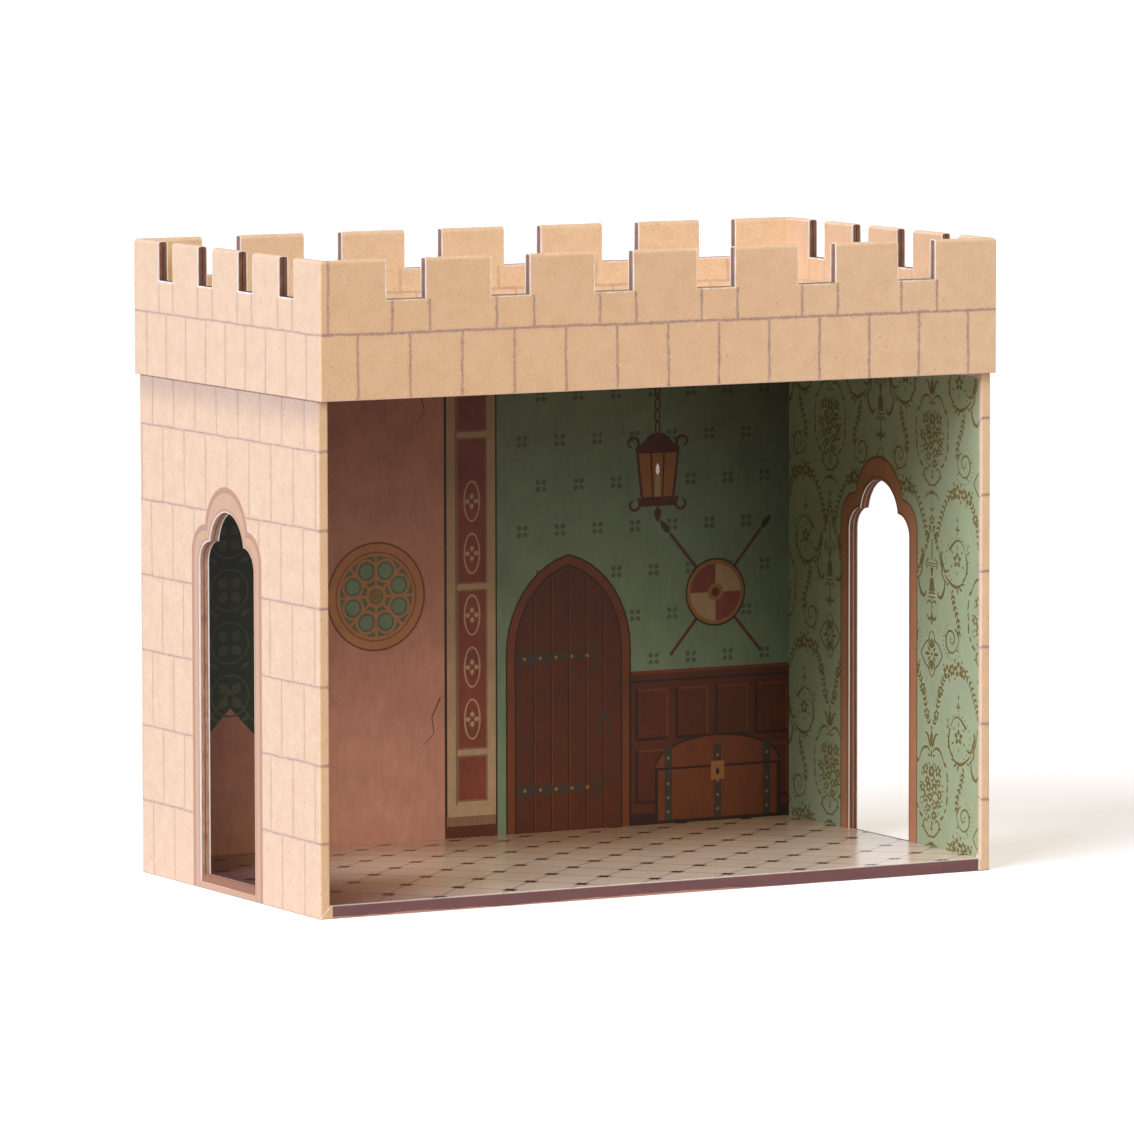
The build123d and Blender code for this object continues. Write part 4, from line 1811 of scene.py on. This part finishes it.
    def draw_chest(self, pen: Pen) -> None:
        """Draw the banded chest that stands before the panelling.

        Args:
            pen: Draws it.
        """
        left, right, seat = 236.0, 294.0, 24.0
        middle = (left + right) / 2
        lid = arc((middle, seat), 30, 12.5, 180, 0, 16)
        pen.fill(Ink.OAK_DARK, [(left - 1.6, 0), (right + 1.6, 0), (right + 1.6, seat), (left - 1.6, seat)])
        pen.fill(Ink.OAK_DARK, [(x * 1.02 - 5.3, y + 0.8) for x, y in lid])
        pen.box(Ink.OAK_LIGHT, left, 1.5, right, seat - 0.8)
        pen.fill(Ink.OAK_LIGHT, lid)
        for x in (left + 5, middle, right - 5):
            pen.box(Ink.IRON, x - 1.8, 1.5, x + 1.8, seat + 9)
            for y in (5, 11, 17, 28):
                pen.disc(Ink.BRASS, (x, y), 0.7, 0.7, 8)
        pen.box(Ink.OAK_DARK, left, seat - 1.0, right, seat)
        pen.box(Ink.BRASS, middle - 3.2, seat - 6.5, middle + 3.2, seat + 1.5)
        pen.disc(Ink.OAK_DARK, (middle, seat - 3), 0.9, 1.4)

    def draw_shield(self, pen: Pen, middle: Point) -> None:
        """Draw the round quartered shield over two crossed spears.

        Args:
            pen: Draws it.
            middle: Its middle.
        """
        x, y = middle
        for side in (-1, 1):
            foot, tip = (x - side * 22, y - 26), (x + side * 22, y + 26)
            pen.stroke(Ink.OAK, [foot, tip], 1.4, 1.4, 1.4)
            pen.leaf(Ink.IRON, tip, 90 - side * 40.2, 8.0, 3.4)
        pen.disc(Ink.OAK_DARK, middle, 14.6, sides=32)
        pen.disc(Ink.BRASS, middle, 13.8, sides=32)
        pen.disc(Ink.CRIMSON, middle, 12.2, sides=32)
        for start in (0, 180):
            pen.fill(Ink.CREAM, [middle] + arc(middle, 12.2, 12.2, start, start + 90, 10))
        pen.disc(Ink.BRASS, middle, 3.8)
        pen.disc(Ink.OAK, middle, 2.0)

    def draw_lantern(self, pen: Pen, middle: Point) -> None:
        """Draw the iron lantern that hangs on a chain from the ceiling.

        Args:
            pen: Draws it.
            middle: Its middle.
        """
        x, y = middle
        for k in range(int((self.height - y - 16) / 5)):
            pen.ring(Ink.OAK, (x, y + 19.5 + 5 * k), 1.1, 2.8, 0.8, 10)
        pen.fill(Ink.OAK, [(x - 11, y + 10), (x + 11, y + 10), (x + 3, y + 17), (x - 3, y + 17)])
        pen.fill(Ink.OAK, [(x - 8, y - 12), (x + 8, y - 12), (x + 10.5, y + 10), (x - 10.5, y + 10)])
        for left, right in ((-9.2, -3.6), (-2.6, 2.6), (3.6, 9.2)):
            squeeze, foot, top = 0.76, y - 10, y + 8.6
            pane = [(x + left * squeeze, foot), (x + right * squeeze, foot), (x + right, top), (x + left, top)]
            pen.fill(Ink.BRASS, pane)
        pen.box(Ink.CREAM, x - 1.2, y - 10, x + 1.2, y - 1)
        pen.leaf(Ink.CUT, (x, y - 1), 90, 5.4, 2.2)
        pen.box(Ink.OAK, x - 9.4, y - 14, x + 9.4, y - 11.6)
        pen.leaf(Ink.OAK, (x, y - 14), -90, 7.0, 4.0)
        for side in (-1, 1):
            for out, rise, reach, way in ((12.2, 13.0, 3.4, 1), (11.4, -13.0, 3.2, -1)):
                turns = (way * (90 + side * 150), way * (90 - side * 170))
                pen.scroll(Ink.OAK, (x + side * out, y + rise), (reach, 1.6), turns, (1.4, 1.2, 0.8), 12)


class Linings:
    """The three printed sheets inside the room."""

    def plaster_stencil(self, sheet: SideLining) -> Shapes:
        """Draw the left wall's plain plaster with a skirting and a stencilled band.

        Args:
            sheet: The sheet that it is drawn on.

        Returns:
            Its shapes.
        """
        pen = Pen()
        pen.box(Ink.PLASTER_DARK, 0.0, 0.0, sheet.length, 6.0)
        pen.box(Ink.PLASTER_DARK, 0.0, 7.0, sheet.length, 7.7)
        for rise in (176.0, 190.0):
            pen.box(Ink.PLASTER_DARK, 0.0, rise, sheet.length, rise + 0.8)
        for k in range(13):
            middle = (6.0 + 12.2 * k, 183.4)
            pen.flower(Ink.PLASTER_DARK, middle, 4.6, 4, 90)
            pen.disc(Ink.PLASTER_DARK, (middle[0] + 6.1, middle[1]), 1.0, 1.0, 8)
        return pen.shapes

    def build(self) -> None:
        """Print and place the sheets."""
        side = SideLining()
        reach = (0.0, 0.0, side.length, side.height)
        side.build(1, Damask().repeat((35.6, -1.0), reach), Ink.GREEN)
        side.build(-1, self.plaster_stencil(side), Ink.PLASTER)
        hall = HallPicture()
        outline = [(0.0, 0.0), (hall.width, 0.0), (hall.width, hall.height), (0.0, hall.height)]
        sheet = PrintedSheet(
            "hall_picture", "back_wallpaper", Slot.PICTURE, hall.origin, (1.0, 0.0, 0.0), outline, [], hall.shades,
        )
        sheet.build(Ink.PLASTER, hall.draw())


@dataclass(frozen=True)
class Plies:
    """Boards that share a seam of glue, or have one alike: its place and the finish of their edges."""

    way: str
    seam: float
    nodes: Tuple[str, ...]
    board: CutBoard = CutBoard()
    grain: Triple = (1, 1, 7)

    @staticmethod
    def crown(*sides: str) -> Tuple[str, ...]:
        """Names of both plies of the crown's walls on the given sides."""
        return tuple(f"crown_{side}_{ply}_board" for side in sides for ply in ("outer", "inner"))


class Castle:
    """The castle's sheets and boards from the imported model, each with its finish."""

    plies: Dict[str, Plies] = {
        "board_room_left": Plies("x", 152.2, ("left_wall_board", "left_lining_board")),
        # The right wall's boards are given darker colours as painted shade of the right doorway's jambs.
        "board_room_right": Plies(
            "x", 152.2, ("right_wall_board", "right_lining_board"),
            CutBoard(ink(128, 88, 72), ink(92, 58, 46), ink(190, 158, 140), 1.76),
        ),
        "board_room_back": Plies("y", 80.3, ("back_wall_board", "back_lining_board")),
        "board_crown_sides": Plies(
            "x", 152.8, Plies.crown("left", "right"), CutBoard(ink(150, 110, 88), ink(88, 58, 46), ink(60, 40, 32)),
        ),
        "board_crown_faces": Plies(
            "y", 83.8, Plies.crown("front", "back"), CutBoard(ink(176, 142, 118), ink(128, 96, 76), ink(84, 56, 46)),
        ),
        "board_floor": Plies("z", 2.7, ("base_board", "floor_board"), CutBoard(rim=9.0), (5, 5, 1)),
        "board_crown_deck": Plies("z", 208.6, ("crown_base_board", "crown_deck_board"), grain=(5, 5, 1)),
    }

    def dress(self) -> None:
        """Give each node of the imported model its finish, and report it."""
        finishes: Dict[str, bpy.types.Material] = {
            "stone_wrap": RoomStone().material(),
            "crown_wrap": CrownStone().material(),
            "tile_paper": TileSheet().material(),
            "floor_edge_paper": EdgeStrip().material("edge_print_front"),
            "base_paper": EdgeStrip().material("edge_print_foot"),
            "ceiling_paper": PlainSheet(ink(206, 172, 158)).material("plain_ceiling"),
            "deck_paper": PlainSheet(ink(226, 192, 160)).material("plain_deck"),
        }
        for name, pair in self.plies.items():
            finish = pair.board.material(name, pair.way, pair.seam, pair.grain)
            finishes.update({node: finish for node in pair.nodes})
        for node, finish in finishes.items():
            piece = frame["nodes"][node]
            piece.data.materials.clear()
            piece.data.materials.append(finish)
            LOG.info("%s is finished as %s", node, finish.name)


@dataclass(frozen=True)
class Lamp:
    """A distant lamp, by degrees round the castle from its front and degrees above the floor."""

    name: str
    turn: float
    tilt: float
    strength: float
    colour: Triple
    spread: float = 44.0

    def hang(self) -> None:
        """Add the lamp, turned towards the castle."""
        data = bpy.data.lights.new(self.name, "SUN")
        data.energy = self.strength
        data.color = self.colour
        data.angle = math.radians(self.spread)
        lamp = bpy.data.objects.new(self.name, data)
        a, e = math.radians(self.turn), math.radians(self.tilt)
        toward = Vector((math.sin(a) * math.cos(e), -math.cos(a) * math.cos(e), math.sin(e)))
        lamp.rotation_euler = toward.to_track_quat("Z", "Y").to_euler()
        lamp.location = toward * 2.0
        bpy.context.scene.collection.objects.link(lamp)


@dataclass(frozen=True)
class Studio:
    """Pale floor, white surroundings, two soft lamps and the camera, in millimetres."""

    target: Triple = (0.0, -11.0, 130.0)
    turn: float = math.radians(-28.12)
    tilt: float = math.radians(5.58)
    roll: float = math.radians(-0.110)
    away: float = 3609.0
    focal: float = 8783.0
    centre: Point = (578.0, 560.2)
    picture: float = 1134.0
    sensor: float = 36.0
    ground: float = 30000.0
    sky: Colour = (1.0, 0.88, 0.73, 1.0)
    sky_strength: float = 0.19
    backdrop: Colour = (1.0, 1.0, 1.0, 1.0)
    floor: Colour = (0.75, 0.75, 0.75, 1.0)
    floor_glow: float = 0.52
    lamps: Tuple[Lamp, ...] = (
        Lamp("left_lamp", -72.0, 34.0, 3.85, (0.76, 0.80, 0.99)), Lamp("front_lamp", 6.0, 38.0, 1.0, (1.0, 0.80, 0.42)),
    )

    def place_camera(self) -> None:
        """Stand the camera where the castle is seen from its left front, a little above."""
        toward = Vector((
            math.sin(self.turn) * math.cos(self.tilt),
            -math.cos(self.turn) * math.cos(self.tilt),
            math.sin(self.tilt),
        ))
        right = Vector((math.cos(self.turn), math.sin(self.turn), 0.0))
        up = toward.cross(right)
        c, s = math.cos(self.roll), math.sin(self.roll)
        level, rise = c * right + s * up, c * up - s * right
        data = bpy.data.cameras.new("front_camera")
        data.sensor_width = self.sensor
        data.sensor_fit = "HORIZONTAL"
        data.lens = self.focal / self.picture * self.sensor
        half = self.picture / 2
        data.shift_x = (half - self.centre[0]) / self.picture
        data.shift_y = (self.centre[1] - half) / self.picture
        data.clip_end = 100.0
        camera = bpy.data.objects.new("front_camera", data)
        spot = (Vector(self.target) + toward * self.away) * MM
        camera.matrix_world = Matrix.Translation(spot) @ Matrix((level, rise, toward)).transposed().to_4x4()
        bpy.context.scene.collection.objects.link(camera)
        bpy.context.scene.camera = camera

    def light(self) -> None:
        """Light the castle from its left and, warmer and weaker, from its front, before a white backdrop."""
        for lamp in self.lamps:
            lamp.hang()
        world = bpy.data.worlds.new("studio")
        bpy.context.scene.world = world
        world.use_nodes = True
        tree = world.node_tree
        tree.nodes.clear()
        rays = add_node(tree, "ShaderNodeLightPath").outputs
        seen = {0: rays["Is Camera Ray"], 1: rays["Is Glossy Ray"]}
        sky = {"Color": self.sky, "Strength": self.sky_strength}
        mix = add_node(tree, "ShaderNodeMixShader", {
            0: add_node(tree, "ShaderNodeMath", seen, operation="MAXIMUM").outputs[0],
            1: add_node(tree, "ShaderNodeBackground", sky).outputs[0],
            2: add_node(tree, "ShaderNodeBackground", {"Color": self.backdrop, "Strength": 1.0}).outputs[0],
        })
        add_node(tree, "ShaderNodeOutputWorld", {0: mix.outputs[0]})

    def lay_floor(self) -> None:
        """Lay a plain white floor that keeps the castle's shadow."""
        mesh = bpy.data.meshes.new("studio_floor")
        edge = self.ground * MM
        mesh.from_pydata([(-edge, -edge, 0), (edge, -edge, 0), (edge, edge, 0), (-edge, edge, 0)], [], [(0, 1, 2, 3)])
        floor = bpy.data.objects.new("studio_floor", mesh)
        bpy.context.scene.collection.objects.link(floor)
        material = bpy.data.materials.new("studio_floor")
        material.use_nodes = True
        tree = material.node_tree
        tree.nodes.clear()
        seen = {0: add_node(tree, "ShaderNodeLightPath").outputs["Is Camera Ray"], 1: self.floor_glow}
        glow = {"Strength": add_node(tree, "ShaderNodeMath", seen, operation="MULTIPLY").outputs[0]}
        both = add_node(tree, "ShaderNodeAddShader", {
            0: add_node(tree, "ShaderNodeBsdfDiffuse", {"Color": self.floor}).outputs[0],
            1: add_node(tree, "ShaderNodeEmission", glow).outputs[0],
        })
        add_node(tree, "ShaderNodeOutputMaterial", {0: both.outputs[0]})
        mesh.materials.append(material)


def main() -> None:
    """Dress the castle and set the studio round it."""
    logging.basicConfig(level=logging.INFO, format="%(name)s: %(message)s")
    bpy.context.scene.view_settings.view_transform = "Standard"
    studio = Studio()
    studio.place_camera()
    studio.light()
    studio.lay_floor()
    Castle().dress()
    Linings().build()


if __name__ == "__main__":
    main()
